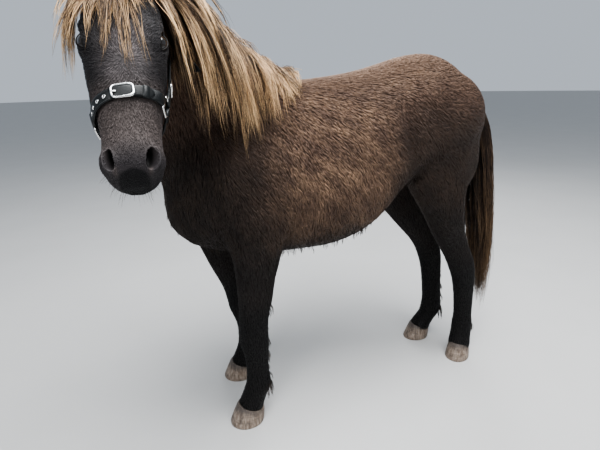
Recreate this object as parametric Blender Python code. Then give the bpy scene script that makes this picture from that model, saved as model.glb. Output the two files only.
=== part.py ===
"""A Shetland pony, life size, standing square with its neck bent and its face turned to its left.

Metres, +Z up. The pony faces -X, its left side is -Y, and the floor is z = 0. The flesh is one form: tubes
lofted through named sections and rounded muscles, fused by a remesh, eased, and then parted into head,
neck, torso and legs by thin flat cuts. Hooves, ears, eyes, tail and headcollar are pieces of their own. The
mane, forelock, tail hair and fetlock hair are tapered locks, laid over what is under them and rooted in
their node.
"""

import math
import random

import bmesh
import bpy
import numpy as np
from mathutils import Matrix, Vector
from mathutils.bvhtree import BVHTree

GAP = 0.0003
DOWN = Vector((0, 0, -1))
ACROSS = Vector((0, 1, 0))
UP = Vector((0, 0, 1))
FORWARD = Vector((-1, 0, 0))

VOXEL = 0.0045
RING_STEP = 0.012
FLESH_EASE = 60
CUT_MARGIN = 0.012
TRIANGLES = {"head": 2200, "neck": 460, "torso": 1200, "fore_leg": 360, "hind_leg": 440}

# Torso sections: x, top, widest level, bottom, half width, fullness above, fullness below.
TORSO = (
    (-0.548, 0.735, 0.670, 0.612, 0.040, 2.0, 2.0),
    (-0.530, 0.790, 0.675, 0.580, 0.085, 2.0, 2.2),
    (-0.490, 0.860, 0.690, 0.548, 0.125, 2.0, 2.2),
    (-0.430, 0.915, 0.700, 0.520, 0.150, 1.8, 2.2),
    (-0.350, 0.960, 0.700, 0.502, 0.163, 1.7, 2.2),
    (-0.270, 0.983, 0.690, 0.490, 0.174, 1.7, 2.1),
    (-0.190, 0.968, 0.685, 0.491, 0.194, 1.9, 2.1),
    (-0.100, 0.973, 0.690, 0.497, 0.214, 2.1, 2.1),
    (0.000, 0.986, 0.712, 0.540, 0.221, 2.2, 2.1),
    (0.080, 1.004, 0.750, 0.630, 0.210, 2.2, 2.1),
    (0.160, 1.026, 0.790, 0.685, 0.198, 2.2, 2.1),
    (0.235, 1.034, 0.805, 0.690, 0.190, 2.2, 2.2),
    (0.305, 1.010, 0.805, 0.680, 0.168, 2.1, 2.2),
    (0.360, 0.962, 0.790, 0.642, 0.134, 2.1, 2.2),
    (0.398, 0.900, 0.775, 0.665, 0.090, 2.0, 2.0),
    (0.414, 0.850, 0.765, 0.700, 0.050, 2.0, 2.0),
)

# Neck sections: crest x, y, z, then underline x, y, z, then half width.
NECK = (
    (-0.150, 0.000, 0.930, -0.392, 0.000, 0.590, 0.120),
    (-0.235, -0.002, 0.978, -0.515, 0.000, 0.655, 0.108),
    (-0.325, -0.014, 1.032, -0.560, -0.012, 0.745, 0.088),
    (-0.410, -0.042, 1.086, -0.588, -0.044, 0.830, 0.074),
    (-0.485, -0.085, 1.130, -0.604, -0.094, 0.905, 0.065),
    (-0.548, -0.140, 1.156, -0.610, -0.160, 0.965, 0.058),
    (-0.590, -0.195, 1.158, -0.612, -0.225, 0.990, 0.050),
)

POLL = Vector((-0.599, -0.217, 1.158))
NOSE_WAY = Vector((-0.055, -0.506, -0.860))
BROW_WAY = Vector((-0.057, -0.858, 0.510))

# Head sections: distance from the poll, top, widest level, bottom, half width, fullness above, and below.
HEAD = (
    (-0.006, -0.020, -0.045, -0.070, 0.022, 2.0, 2.0),
    (0.012, 0.008, -0.040, -0.095, 0.046, 2.0, 2.0),
    (0.045, 0.032, -0.025, -0.120, 0.062, 2.2, 2.0),
    (0.085, 0.046, -0.010, -0.142, 0.070, 2.3, 2.0),
    (0.125, 0.052, -0.004, -0.158, 0.072, 2.2, 2.1),
    (0.160, 0.053, -0.006, -0.160, 0.072, 2.1, 2.2),
    (0.200, 0.051, -0.010, -0.144, 0.070, 2.1, 2.3),
    (0.240, 0.048, -0.010, -0.120, 0.064, 2.2, 2.4),
    (0.280, 0.044, -0.014, -0.100, 0.056, 2.2, 2.4),
    (0.320, 0.039, -0.018, -0.086, 0.050, 2.2, 2.1),
    (0.355, 0.034, -0.016, -0.080, 0.051, 2.3, 1.8),
    (0.385, 0.022, -0.018, -0.076, 0.048, 2.3, 1.6),
    (0.402, 0.004, -0.024, -0.068, 0.037, 2.2, 1.6),
    (0.410, -0.014, -0.032, -0.056, 0.018, 2.0, 1.8),
)

# Foreleg sections: height, set back from the cannon's line, half lengths forward and back, half width.
FORELEG = (
    (0.640, 0.030, 0.100, 0.080, 0.050),
    (0.570, 0.024, 0.084, 0.080, 0.055),
    (0.510, 0.016, 0.064, 0.068, 0.054),
    (0.450, 0.010, 0.053, 0.056, 0.049),
    (0.385, 0.006, 0.047, 0.049, 0.044),
    (0.325, 0.000, 0.041, 0.041, 0.039),
    (0.290, -0.003, 0.041, 0.041, 0.041),
    (0.258, -0.003, 0.042, 0.043, 0.042),
    (0.225, 0.000, 0.036, 0.038, 0.035),
    (0.190, 0.002, 0.033, 0.035, 0.030),
    (0.150, 0.002, 0.033, 0.035, 0.030),
    (0.118, 0.003, 0.036, 0.040, 0.034),
    (0.092, -0.005, 0.037, 0.039, 0.035),
    (0.072, -0.014, 0.037, 0.037, 0.036),
    (0.054, -0.021, 0.038, 0.038, 0.038),
    (0.030, -0.024, 0.037, 0.036, 0.037),
)

# Hind leg sections, in the same columns.
HINDLEG = (
    (0.840, -0.180, 0.110, 0.140, 0.064),
    (0.760, -0.175, 0.125, 0.135, 0.074),
    (0.680, -0.175, 0.130, 0.118, 0.075),
    (0.610, -0.162, 0.118, 0.092, 0.070),
    (0.550, -0.135, 0.092, 0.072, 0.062),
    (0.490, -0.105, 0.070, 0.062, 0.053),
    (0.435, -0.070, 0.055, 0.054, 0.044),
    (0.390, -0.040, 0.047, 0.050, 0.040),
    (0.352, -0.022, 0.045, 0.048, 0.039),
    (0.315, -0.012, 0.041, 0.044, 0.035),
    (0.260, -0.005, 0.037, 0.039, 0.032),
    (0.200, 0.000, 0.035, 0.037, 0.031),
    (0.150, 0.003, 0.035, 0.038, 0.031),
    (0.118, 0.003, 0.038, 0.041, 0.035),
    (0.092, -0.004, 0.037, 0.039, 0.035),
    (0.072, -0.013, 0.037, 0.037, 0.036),
    (0.054, -0.020, 0.038, 0.038, 0.038),
    (0.030, -0.023, 0.037, 0.036, 0.037),
)

# The left hind leg is turned out, so that it shows a narrower thigh.
HINDLEG_LEFT = (
    (0.840, -0.180, 0.110, 0.140, 0.064),
    (0.760, -0.175, 0.115, 0.135, 0.074),
    (0.680, -0.175, 0.098, 0.118, 0.075),
    (0.610, -0.162, 0.068, 0.094, 0.068),
    (0.550, -0.135, 0.050, 0.074, 0.060),
    (0.490, -0.105, 0.046, 0.063, 0.052),
    (0.435, -0.070, 0.046, 0.054, 0.044),
    *HINDLEG[7:],
)

# Each leg: cannon x and y, y where it enters the trunk, toe turned out in degrees, reach of the pastern,
# sections.
LEGS = {
    "fore_left": (-0.353, -0.104, -0.108, 8, 1.1, FORELEG),
    "fore_right": (-0.324, 0.112, 0.110, 5, 1.0, FORELEG),
    "hind_left": (0.428, -0.068, -0.104, 36, 0.9, HINDLEG_LEFT),
    "hind_right": (0.396, 0.080, 0.104, 4, 1.9, HINDLEG),
}
LEG_ENTRY = 0.64

# How far a leg leans from its cannon's line: height and the shift in x there.
LEANS = {
    "fore_right": ((0.18, 0.0), (0.28, -0.012), (0.34, -0.030), (0.42, -0.064), (0.50, -0.090)),
    "hind_left": ((0.03, 0.0), (0.20, -0.010), (0.35, -0.020), (0.64, -0.020)),
}
FETLOCK = 0.12
HOCK = 0.405
HOCK_TILT = -0.25

HOOF_HEIGHT = 0.048
HOOF_SLOPE = math.radians(16)
HOOF_COUNT = 16
CORONET_SET = -0.022
HOOF_FRONT_GROWTH = 0.016

# Hoof sections: share of the height above the sole, half length, half width.
HOOF_ROWS = (
    (0.00, 0.0475, 0.0445),
    (0.07, 0.0490, 0.0460),
    (0.55, 0.0445, 0.0430),
    (0.93, 0.0400, 0.0395),
    (1.00, 0.0385, 0.0380),
)

EYE_RADIUS = 0.0185
EYE_FROM_POLL = 0.153
EYE_LEVEL = 0.013
EYE_OUT = 0.0555
LID_THICKNESS = 0.0030
EYE_WIDTH = 0.035
EYE_OPENING = 0.022

EAR_LENGTH = 0.112
EAR_WALL = 0.004

STRAP_WIDTH = 0.020
STRAP_THICKNESS = 0.0038
STRAP_LIFT = 0.0014
NOSEBAND_MIDDLE = (0.282, -0.035)
NOSEBAND_RISE = 0.24
NOSEBAND_TIP = 0.09
RING_AT = {-1: (0.271, 0.004), 1: (0.284, -0.036)}
RING_HALF = 0.0135
RING_BAR = 0.0022
BUCKLE_HALF = (0.0182, 0.0122)
BUCKLE_BAR = 0.0022
CHEEK_POINTS = 8

LOCK_SEED = 8

# Colour, roughness, metallic.
MATERIALS = {
    "coat": ((0.022, 0.014, 0.010), 0.62, 0.0),
    "mane": ((0.090, 0.052, 0.026), 0.58, 0.0),
    "tail_hair": ((0.016, 0.010, 0.008), 0.58, 0.0),
    "horn": ((0.150, 0.110, 0.075), 0.70, 0.0),
    "eye": ((0.012, 0.007, 0.004), 0.06, 0.0),
    "leather": ((0.014, 0.016, 0.018), 0.48, 0.0),
    "metal": ((0.62, 0.62, 0.62), 0.22, 1.0),
}

# The first word here that a node's name holds gives its material.
NODE_MATERIALS = {
    "halter_ring": "metal",
    "halter_buckle": "metal",
    "halter": "leather",
    "hoof": "horn",
    "eye": "eye",
    "tail": "tail_hair",
    "neck": "mane",
    "": "coat",
}


def eased(rows, step):
    """The table's rows with more between them, along a smooth curve through every column."""
    table = np.array(rows, float)
    along = np.concatenate([[0], np.cumsum(np.linalg.norm(np.diff(table[:, :3], axis=0), axis=1))])
    slopes = np.gradient(table, along, axis=0)
    made = []
    for i in range(len(table) - 1):
        span = along[i + 1] - along[i]
        count = max(1, round(span / step))
        for t in np.arange(count) / count:
            a = 2 * t**3 - 3 * t**2 + 1
            b = t**3 - 2 * t**2 + t
            c = 3 * t**2 - 2 * t**3
            d = t**3 - t**2
            made.append(a * table[i] + b * span * slopes[i] + c * table[i + 1] + d * span * slopes[i + 1])
    return [*made, table[-1]]


def oval(centre, across, up, half_width, above, below, fullness_above=2.0, fullness_below=2.0, count=32):
    """One section: an oval of its own height above and below its widest level."""
    points = []
    for k in range(count):
        c = math.cos(2 * math.pi * k / count)
        s = math.sin(2 * math.pi * k / count)
        power = 2 / (fullness_above if s > 0 else fullness_below)
        wide = half_width * math.copysign(abs(c) ** power, c)
        high = (above if s > 0 else below) * math.copysign(abs(s) ** power, s)
        points.append(centre + across * wide + up * high)
    return points


def mesh_of(bm, name="piece"):
    """The bmesh as a mesh whose faces point out."""
    bmesh.ops.recalc_face_normals(bm, faces=bm.faces)
    mesh = bpy.data.meshes.new(name)
    bm.to_mesh(mesh)
    bm.free()
    return mesh


def object_of(mesh, name="piece"):
    piece = bpy.data.objects.new(name, mesh)
    bpy.context.scene.collection.objects.link(piece)
    return piece


def tube(rings):
    """A closed body lofted through rings of points, with a fan at each end."""
    bm = bmesh.new()
    made = [[bm.verts.new(p) for p in ring] for ring in rings]
    count = len(rings[0])
    for lower, upper in zip(made, made[1:]):
        for k in range(count):
            bm.faces.new((lower[k], lower[(k + 1) % count], upper[(k + 1) % count], upper[k]))
    for ring in (made[0], made[-1]):
        middle = bm.verts.new(sum((v.co for v in ring), Vector()) / count)
        for k in range(count):
            bm.faces.new((ring[k], ring[(k + 1) % count], middle))
    return object_of(mesh_of(bm))


def placed(centre, sizes, turn):
    """The transform that gives a unit form its sizes along the columns of turn, and its middle."""
    return Matrix.Translation(centre) @ (turn.to_4x4() if turn else Matrix()) @ Matrix.Diagonal((*sizes, 1))


def ball(centre, radii, turn=None, level=3):
    """An ellipsoid with its three radii along the columns of turn, or along the world's axes."""
    bm = bmesh.new()
    bmesh.ops.create_icosphere(bm, subdivisions=level, radius=1)
    bmesh.ops.transform(bm, matrix=placed(centre, radii, turn), verts=bm.verts)
    return object_of(mesh_of(bm))


def block(centre, half_sizes, turn=None):
    """A plain box, for a cut."""
    bm = bmesh.new()
    bmesh.ops.create_cube(bm, size=2)
    bmesh.ops.transform(bm, matrix=placed(centre, half_sizes, turn), verts=bm.verts)
    return object_of(mesh_of(bm))


def settled(piece):
    """Applies the modifiers of a piece to its mesh."""
    graph = bpy.context.evaluated_depsgraph_get()
    mesh = bpy.data.meshes.new_from_object(piece.evaluated_get(graph))
    piece.modifiers.clear()
    piece.data = mesh
    return piece


def removed(*pieces):
    for piece in pieces:
        bpy.data.objects.remove(piece)


def joined(pieces):
    """One object that holds the meshes of them all, still separate shells."""
    bm = bmesh.new()
    for piece in pieces:
        bm.from_mesh(piece.data)
    removed(*pieces)
    mesh = bpy.data.meshes.new("joined")
    bm.to_mesh(mesh)
    bm.free()
    return object_of(mesh)


def boolean(piece, others, operation):
    """Unites a piece with others, or cuts them away from it, and removes them. The exact solver is slow on
    forms as dense as these, and loses some of the crossing locks, so this is the manifold one."""
    helpers = bpy.data.collections.new("helpers")
    for other in others:
        helpers.objects.link(other)
    modifier = piece.modifiers.new("boolean", "BOOLEAN")
    modifier.operation = operation
    modifier.operand_type = "COLLECTION"
    modifier.collection = helpers
    modifier.solver = "MANIFOLD"
    settled(piece)
    bpy.data.collections.remove(helpers)
    removed(*others)
    return piece


def largest(piece):
    """Keeps only the largest closed surface of a piece."""
    bm = bmesh.new()
    bm.from_mesh(piece.data)
    bmesh.ops.triangulate(bm, faces=bm.faces)
    left = set(bm.faces)
    shells = []
    while left:
        shell = set()
        edge = [left.pop()]
        while edge:
            face = edge.pop()
            shell.add(face)
            for side in face.edges:
                for other in side.link_faces:
                    if len(side.link_faces) == 2 and other in left:
                        left.remove(other)
                        edge.append(other)
        shells.append(shell)
    shells.sort(key=lambda shell: -shell_volume(shell))
    loose = [face for shell in shells[1:] for face in shell]
    bmesh.ops.delete(bm, geom=loose, context="FACES")
    bm.to_mesh(piece.data)
    bm.free()
    return piece


def shell_volume(shell):
    return abs(sum(f.verts[0].co.dot(f.verts[1].co.cross(f.verts[2].co)) for f in shell)) / 6


def copied(piece):
    return object_of(piece.data.copy())


def grown(piece, by):
    """A copy of a piece, larger by a little all round."""
    copy = copied(piece)
    modifier = copy.modifiers.new("grow", "DISPLACE")
    modifier.strength = by
    modifier.mid_level = 0
    return settled(copy)


def trimmed(piece, neighbours):
    """Cuts the neighbours, and a thin gap round them, away from a piece, which may fall into several."""
    boolean(piece, [grown(other, 1.5 * GAP) for other in neighbours], "DIFFERENCE")
    return boolean(piece, [copied(other) for other in neighbours], "DIFFERENCE")


def clear_of(piece, neighbours):
    """Cuts the neighbours, and a thin gap round them, away from a piece, and keeps its main body."""
    return largest(trimmed(piece, neighbours))


def haired(piece, locks, neighbours):
    """Gives a piece its hair: the locks are fused, cut clear of the neighbours, and fused to it."""
    hair = boolean(locks[0], locks[1:], "UNION")
    return largest(boolean(piece, [trimmed(hair, neighbours)], "UNION"))


def thinned(piece, triangles):
    """Fewer triangles, most of them where the surface bends."""
    count = sum(len(face.vertices) - 2 for face in piece.data.polygons)
    modifier = piece.modifiers.new("thin", "DECIMATE")
    modifier.ratio = triangles / count
    modifier.use_collapse_triangulate = True
    return settled(piece)


def surface_of(pieces):
    """What find_nearest and ray_cast read: the surfaces of these pieces as one."""
    bm = bmesh.new()
    for piece in pieces:
        bm.from_mesh(piece.data)
    tree = BVHTree.FromBMesh(bm)
    bm.free()
    return tree


def head_axes():
    """The head's own axes as columns: down the face, out of the forehead, and towards the pony's right."""
    nose = NOSE_WAY.normalized()
    right = nose.cross(BROW_WAY).normalized()
    return Matrix((nose, right.cross(nose), right)).transposed()


HEAD_AXES = head_axes()


def on_head(from_poll, level, out):
    """A point of the head: its distance down the face, its level towards the brow, and out to the right."""
    return POLL + HEAD_AXES @ Vector((from_poll, level, out))


def torso_form():
    rings = []
    for x, top, widest, bottom, half, above, below in eased(TORSO, RING_STEP):
        middle = Vector((x, 0, widest))
        rings.append(oval(middle, ACROSS, UP, half, top - widest, widest - bottom, above, below, 48))
    return tube(rings)


def neck_form():
    rows = eased(NECK, RING_STEP)
    middles = [(Vector(row[:3]) + Vector(row[3:6])) / 2 for row in rows]
    rings = []
    for i, row in enumerate(rows):
        run = middles[min(i + 1, len(rows) - 1)] - middles[max(i - 1, 0)]
        rise = Vector(row[:3]) - Vector(row[3:6])
        across = run.cross(rise).normalized()
        high = rise.length / 2
        rings.append(oval(middles[i], across, rise.normalized(), row[6], high, high, 1.8, 2.1))
    return tube(rings)


def head_form():
    rings = []
    for along, top, widest, bottom, half, above, below in eased(HEAD, RING_STEP / 2):
        centre = on_head(along, widest, 0)
        _, out, right = HEAD_AXES.col
        rings.append(oval(centre, right, out, half, top - widest, widest - bottom, above, below))
    return tube(rings)


def leg_axis(name, height):
    """The line that a leg's sections are set from, and their turn, at one height."""
    cannon_x, cannon_y, entry_y, toe_out, _, _ = LEGS[name]
    lean = min(1, height / LEG_ENTRY) ** 2
    turned = math.radians(toe_out) * min(1, max(0, (0.34 - height) / 0.2))
    side = -1 if cannon_y < 0 else 1
    shift = np.interp(height, *zip(*LEANS.get(name, ((0, 0),))))
    place = Vector((cannon_x + float(shift), cannon_y + (entry_y - cannon_y) * lean, height))
    return place, Matrix.Rotation(-side * turned, 3, "Z")


def leg_form(name):
    reach, sections = LEGS[name][4:]
    rings = []
    for height, back, ahead, behind, half in eased(sections, RING_STEP):
        axis, turn = leg_axis(name, height)
        offset = back * reach if height < FETLOCK and back < 0 else back
        centre = axis + turn @ Vector((offset, 0, 0))
        rings.append(oval(centre, turn @ ACROSS, turn @ FORWARD, half, ahead, behind, 2.2, 2.2, 24))
    return tube(rings)


def muscle(centre, radii, pitch=0.0, yaw=0.0):
    """A rounded mass, tipped nose up by pitch and turned by yaw, in degrees."""
    turn = Matrix.Rotation(math.radians(yaw), 3, "Z") @ Matrix.Rotation(math.radians(pitch), 3, "Y")
    return ball(Vector(centre), radii, turn)


def muscles():
    """The rounded masses that give the trunk its form, on both sides."""
    made = []
    for side in (-1, 1):
        made += [
            muscle((-0.395, side * 0.082, 0.720), (0.085, 0.082, 0.160), pitch=28),
            muscle((-0.330, side * 0.108, 0.635), (0.105, 0.062, 0.105), pitch=-20),
            muscle((-0.470, side * 0.062, 0.645), (0.065, 0.066, 0.095)),
            muscle((-0.270, side * 0.068, 0.860), (0.110, 0.070, 0.110), pitch=30),
            muscle((0.255, side * 0.095, 0.845), (0.135, 0.092, 0.140), pitch=20),
            muscle((0.298, side * 0.085, 0.740), (0.092, 0.080, 0.145), pitch=-4),
            muscle((0.160, side * 0.118, 0.905), (0.080, 0.070, 0.070)),
            muscle((0.206, side * 0.118, 0.702), (0.068, 0.055, 0.085), pitch=20),
        ]
    return made


def head_masses():
    """The cheeks, brows, nostril wings, lips and chin."""
    made = []
    for side in (-1, 1):
        for along, level, out, radii in (
            (0.150, -0.085, 0.040, (0.068, 0.068, 0.026)),
            (0.154, 0.006, 0.054, (0.036, 0.030, 0.0235)),
            (0.143, 0.030, 0.050, (0.036, 0.017, 0.024)),
            (0.215, -0.012, 0.052, (0.060, 0.012, 0.012)),
            (0.370, 0.006, 0.033, (0.030, 0.026, 0.021)),
            (0.384, -0.024, 0.020, (0.019, 0.022, 0.019)),
        ):
            made.append(ball(on_head(along, level, side * out), radii, HEAD_AXES))
    made.append(ball(on_head(0.374, -0.066, 0), (0.026, 0.019, 0.023), HEAD_AXES))
    return made


def flesh():
    """The whole body without hooves, ears and hair, as one dense smooth surface."""
    legs = [leg_form(name) for name in LEGS]
    whole = joined([torso_form(), neck_form(), head_form(), *legs, *muscles(), *head_masses()])
    remesh = whole.modifiers.new("fuse", "REMESH")
    remesh.mode = "VOXEL"
    remesh.voxel_size = VOXEL
    settled(whole)
    ease = whole.vertex_groups.new(name="ease")
    weights = {}
    for vert in whole.data.vertices:
        nose = (HEAD_AXES.transposed() @ (vert.co - POLL)).x
        on_face = vert.co.x < -0.5 and nose > 0.06
        weight = 0.14 if on_face else min(1, max(0.10, (vert.co.z - 0.40) / 0.25))
        weights.setdefault(round(weight, 1), []).append(vert.index)
    for weight, found in weights.items():
        ease.add(found, weight, "REPLACE")
    smooth = whole.modifiers.new("ease", "SMOOTH")
    smooth.vertex_group = "ease"
    smooth.factor = 0.5
    smooth.iterations = FLESH_EASE
    return settled(whole)


def beyond(point, normal, margin=0.0, reach=3.0):
    """A huge block on the side that a plane's normal points to. It starts half a gap before the plane, or a
    margin further away."""
    turn = normal.to_track_quat("Z", "Y").to_matrix()
    return block(point + normal.normalized() * (reach - GAP / 2 + margin), (reach, reach, reach), turn)


def cut_out(body, triangles, cuts, kept=None):
    """One node of the flesh. It is cut out a little too large, thinned, and cut again where it ends, so that
    its ends stay flat; cuts and kept give the blocks to remove and to keep, for a margin."""
    piece = copied(body)
    for margin in (CUT_MARGIN, 0.0):
        if kept:
            boolean(piece, [kept(margin)], "INTERSECT")
        boolean(piece, cuts(margin), "DIFFERENCE")
        largest(piece)
        if margin:
            thinned(piece, triangles)
    return piece


def halves(piece, point, normal):
    """Cuts a piece in two along a plane: what is left, and the part on the side the normal points to."""
    part = boolean(copied(piece), [beyond(point, -normal)], "DIFFERENCE")
    boolean(piece, [beyond(point, normal)], "DIFFERENCE")
    return largest(piece), largest(part)


def below(span, side, level, shift):
    """A block under a sloping cut: from the middle outwards on one side, along a span of x."""
    bm = bmesh.new()
    verts = []
    corners = ((span[0], 0), (span[1], 0), (span[1], 0.4), (span[0], 0.4))
    for z_of in (lambda x, y: -0.2, lambda x, y: level(x, y) + shift):
        verts += [bm.verts.new((x, side * y, z_of(x, y))) for x, y in corners]
    for face in ((0, 1, 2, 3), (4, 5, 6, 7), (0, 1, 5, 4), (1, 2, 6, 5), (2, 3, 7, 6), (3, 0, 4, 7)):
        bm.faces.new([verts[i] for i in face])
    return object_of(mesh_of(bm))


def fore_level(x, y):
    return 0.455 + 0.45 * y


def hind_level(x, y):
    return 0.530 + 0.17 * (x - 0.15) + 0.50 * y


def hoof_frame(name):
    """The middle of the coronet, and the hoof's axes as columns: to its toe, across and up."""
    height = HOOF_HEIGHT
    axis, turn = leg_axis(name, height)
    centre = axis + turn @ Vector((CORONET_SET * LEGS[name][4], 0, 0))
    toe = turn @ FORWARD
    return centre, Matrix((toe, UP.cross(toe), UP)).transposed()


def under_trunk(name, shift):
    """The block that holds one leg below its cut from the trunk."""
    side = -1 if name.endswith("left") else 1
    if name.startswith("fore"):
        return below((-0.52, -0.20), side, fore_level, shift)
    return below((0.12, 0.60), side, hind_level, shift)


def under_coronet(name, margin):
    """A block under the slope of one coronet."""
    centre, axes = hoof_frame(name)
    turn = axes @ Matrix.Rotation(-HOOF_SLOPE, 3, "Y")
    return block(centre - turn.col[2] * (0.2 - GAP + margin), (0.09, 0.09, 0.2), turn)


def parted(body):
    """The flesh as head, neck, torso and legs."""
    poll = (Vector((-0.590, -0.155, 1.050)), Vector((-0.523, -0.848, -0.076)))
    base = (Vector((-0.240, 0.000, 1.000)), Vector((-0.636, 0.000, 0.772)))

    def round_torso(margin):
        return [beyond(*base, margin), *[under_trunk(name, GAP / 2 - margin) for name in LEGS]]

    def round_neck(margin):
        return [beyond(*poll, margin), beyond(base[0], -base[1], margin)]

    made = {
        "head": cut_out(body, TRIANGLES["head"], lambda margin: [beyond(poll[0], -poll[1], margin)]),
        "neck": cut_out(body, TRIANGLES["neck"], round_neck),
        "torso": cut_out(body, TRIANGLES["torso"], round_torso),
    }
    for name in LEGS:
        leg = cut_out(
            body,
            TRIANGLES["hind_leg" if name.startswith("hind") else "fore_leg"],
            lambda margin: [under_coronet(name, margin)],
            lambda margin: under_trunk(name, margin - GAP / 2),
        )
        if name.startswith("hind"):
            leg, upper = halves(leg, leg_axis(name, HOCK)[0], Vector((HOCK_TILT, 0, 1)))
            made[name + "_upper_leg"] = upper
        made[leg_node(name)] = leg
    return made


def leg_node(name):
    """The node that a hoof grows from."""
    return name + ("_lower_leg" if name.startswith("hind") else "_leg")


def hoof(name):
    """A hoof: its wall flares from the sloping coronet to a flat sole, squarer at the heel than the toe."""
    centre, axes = hoof_frame(name)
    front = name.startswith("fore")
    rings = []
    for t, length, width in HOOF_ROWS:
        ring = []
        for k in range(HOOF_COUNT):
            angle = 2 * math.pi * k / HOOF_COUNT
            c = math.cos(angle)
            s = math.sin(angle)
            power = 1 if c > 0 else 0.8
            ahead = length * (1 if front else 0.94) * math.copysign(abs(c) ** power, c)
            level = t * (HOOF_HEIGHT - GAP + math.tan(HOOF_SLOPE) * ahead) - HOOF_HEIGHT
            place = (ahead + HOOF_FRONT_GROWTH * (1 - t), width * (1 if front else 0.87) * s, level)
            ring.append(centre + axes @ Vector(place))
        rings.append(ring)
    return tube(rings)


def eye_place(side):
    """The middle of an eyeball, and its axes as columns: along the lids, across them, and out."""
    out = (HEAD_AXES @ Vector((0.00, 0.54, 0.84 * side))).normalized()
    along = HEAD_AXES @ Vector((0.96, 0.26, 0))
    along = (along - out * along.dot(out)).normalized()
    centre = on_head(EYE_FROM_POLL, EYE_LEVEL, side * EYE_OUT)
    return centre, Matrix((along, out.cross(along), out)).transposed()


def globe(side, radius):
    bm = bmesh.new()
    bmesh.ops.create_uvsphere(bm, u_segments=14, v_segments=8, radius=radius)
    centre, axes = eye_place(side)
    bmesh.ops.transform(bm, matrix=Matrix.Translation(centre) @ axes.to_4x4(), verts=bm.verts)
    return object_of(mesh_of(bm))


def lid_opening(side):
    """The almond between the lids, as a prism that starts inside the eyeball."""
    centre, axes = eye_place(side)
    rings = []
    for depth, size in ((0.004, 0.8), (0.022, 1.0), (0.040, 1.35)):
        ring = []
        for k in range(14):
            angle = 2 * math.pi * k / 14
            c = math.cos(angle)
            s = math.sin(angle)
            point = (EYE_WIDTH / 2 * c, EYE_OPENING / 2 * s * (1 - 0.35 * c * c), depth)
            ring.append(centre + axes @ Vector((point[0] * size, point[1] * size, depth)))
        rings.append(ring)
    return tube(rings)


def mouth_line(tree):
    """A thin band that follows the front of the muzzle between the lips, for a groove."""
    start = on_head(0.338, -0.050, 0)
    rings = []
    for k in range(13):
        angle = math.radians(-102 + 17 * k)
        way = (HEAD_AXES @ Vector((math.cos(angle), 0.10 * math.cos(angle), math.sin(angle)))).normalized()
        hit = tree.ray_cast(start, way)[0]
        lift = HEAD_AXES.col[1] * 0.0011
        depth = 0.0045 * min(1, 0.25 + 0.75 * math.cos(angle / 1.25))
        deep = hit - way * depth
        open_side = hit + way * 0.006
        rings.append([deep - lift * 0.4, open_side - lift, open_side + lift, deep + lift * 0.4])
    return tube(rings)


def nostril(side):
    """An upright oval hollow that faces ahead and a little outwards."""
    out = HEAD_AXES @ Vector((0.25, 0.82, 0.50 * side)).normalized()
    along = HEAD_AXES @ Vector((0.98, -0.12, -0.12 * side))
    along = (along - out * along.dot(out)).normalized()
    turn = Matrix((along, out.cross(along), out)).transposed()
    aside, radii = (0.0310, (0.0192, 0.0088, 0.0200)) if side < 0 else (0.0350, (0.0185, 0.0074, 0.0200))
    return ball(on_head(0.3715, 0.026, side * aside), radii, turn, 2)


def faced(head):
    """Gives the head its lids, eye sockets, nostrils and mouth."""
    boolean(head, [globe(side, EYE_RADIUS + LID_THICKNESS) for side in (-1, 1)], "UNION")
    cutters = [lid_opening(side) for side in (-1, 1)]
    cutters += [globe(side, EYE_RADIUS + GAP) for side in (-1, 1)]
    cutters += [nostril(side) for side in (-1, 1)]
    cutters.append(mouth_line(surface_of([head])))
    boolean(head, cutters, "DIFFERENCE")
    return largest(head)


def ear(side):
    """A leaf-shaped cup, a closed tube at its root, that opens forwards and outwards."""
    base = on_head(0.016, -0.006, side * 0.044)
    rise = (HEAD_AXES @ Vector((-0.84, 0.20, 0.38 * side))).normalized()
    opening = HEAD_AXES @ Vector((0, 0.80, 0.60 * side))
    opening = (opening - rise * opening.dot(rise)).normalized()
    across = rise.cross(opening)
    rings = []
    for t, width, spread in (
        (-0.14, 0.030, 165),
        (0.03, 0.034, 160),
        (0.16, 0.044, 128),
        (0.34, 0.052, 104),
        (0.55, 0.050, 92),
        (0.75, 0.036, 84),
        (0.91, 0.018, 78),
        (1.00, 0.005, 70),
    ):
        centre = base + rise * EAR_LENGTH * t + opening * 0.012 * t * t - across * 0.010 * t * t * side
        radius = width / 2
        wall = min(EAR_WALL, radius * 0.55)
        arc = [math.radians(spread * (2 * k / 6 - 1)) for k in range(7)]
        ways = [across * math.sin(a) - opening * math.cos(a) for a in arc]
        outer = [centre + way * radius for way in ways]
        inner = [centre + way * (radius - wall) for way in ways]
        rings.append(outer + inner[::-1])
    return tube_between(rings)


def tube_between(rings):
    """A closed body lofted through rings, each end closed by strips between the ring's two halves."""
    bm = bmesh.new()
    made = [[bm.verts.new(p) for p in ring] for ring in rings]
    count = len(rings[0])
    for lower, upper in zip(made, made[1:]):
        for k in range(count):
            bm.faces.new((lower[k], lower[(k + 1) % count], upper[(k + 1) % count], upper[k]))
    for ring in (made[0], made[-1]):
        for k in range(count // 2 - 1):
            bm.faces.new((ring[k], ring[k + 1], ring[count - 2 - k], ring[count - 1 - k]))
    return object_of(mesh_of(bm))


def hull_of(points):
    """The convex outline of points in a plane, anticlockwise."""
    ordered = sorted(points)
    halves_made = []
    for run in (ordered, ordered[::-1]):
        chain = []
        for p in run:
            while len(chain) > 1:
                a, b = chain[-2:]
                if (b[0] - a[0]) * (p[1] - a[1]) - (b[1] - a[1]) * (p[0] - a[0]) > 0:
                    break
                chain.pop()
            chain.append(p)
        halves_made += chain[:-1]
    return halves_made


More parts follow.
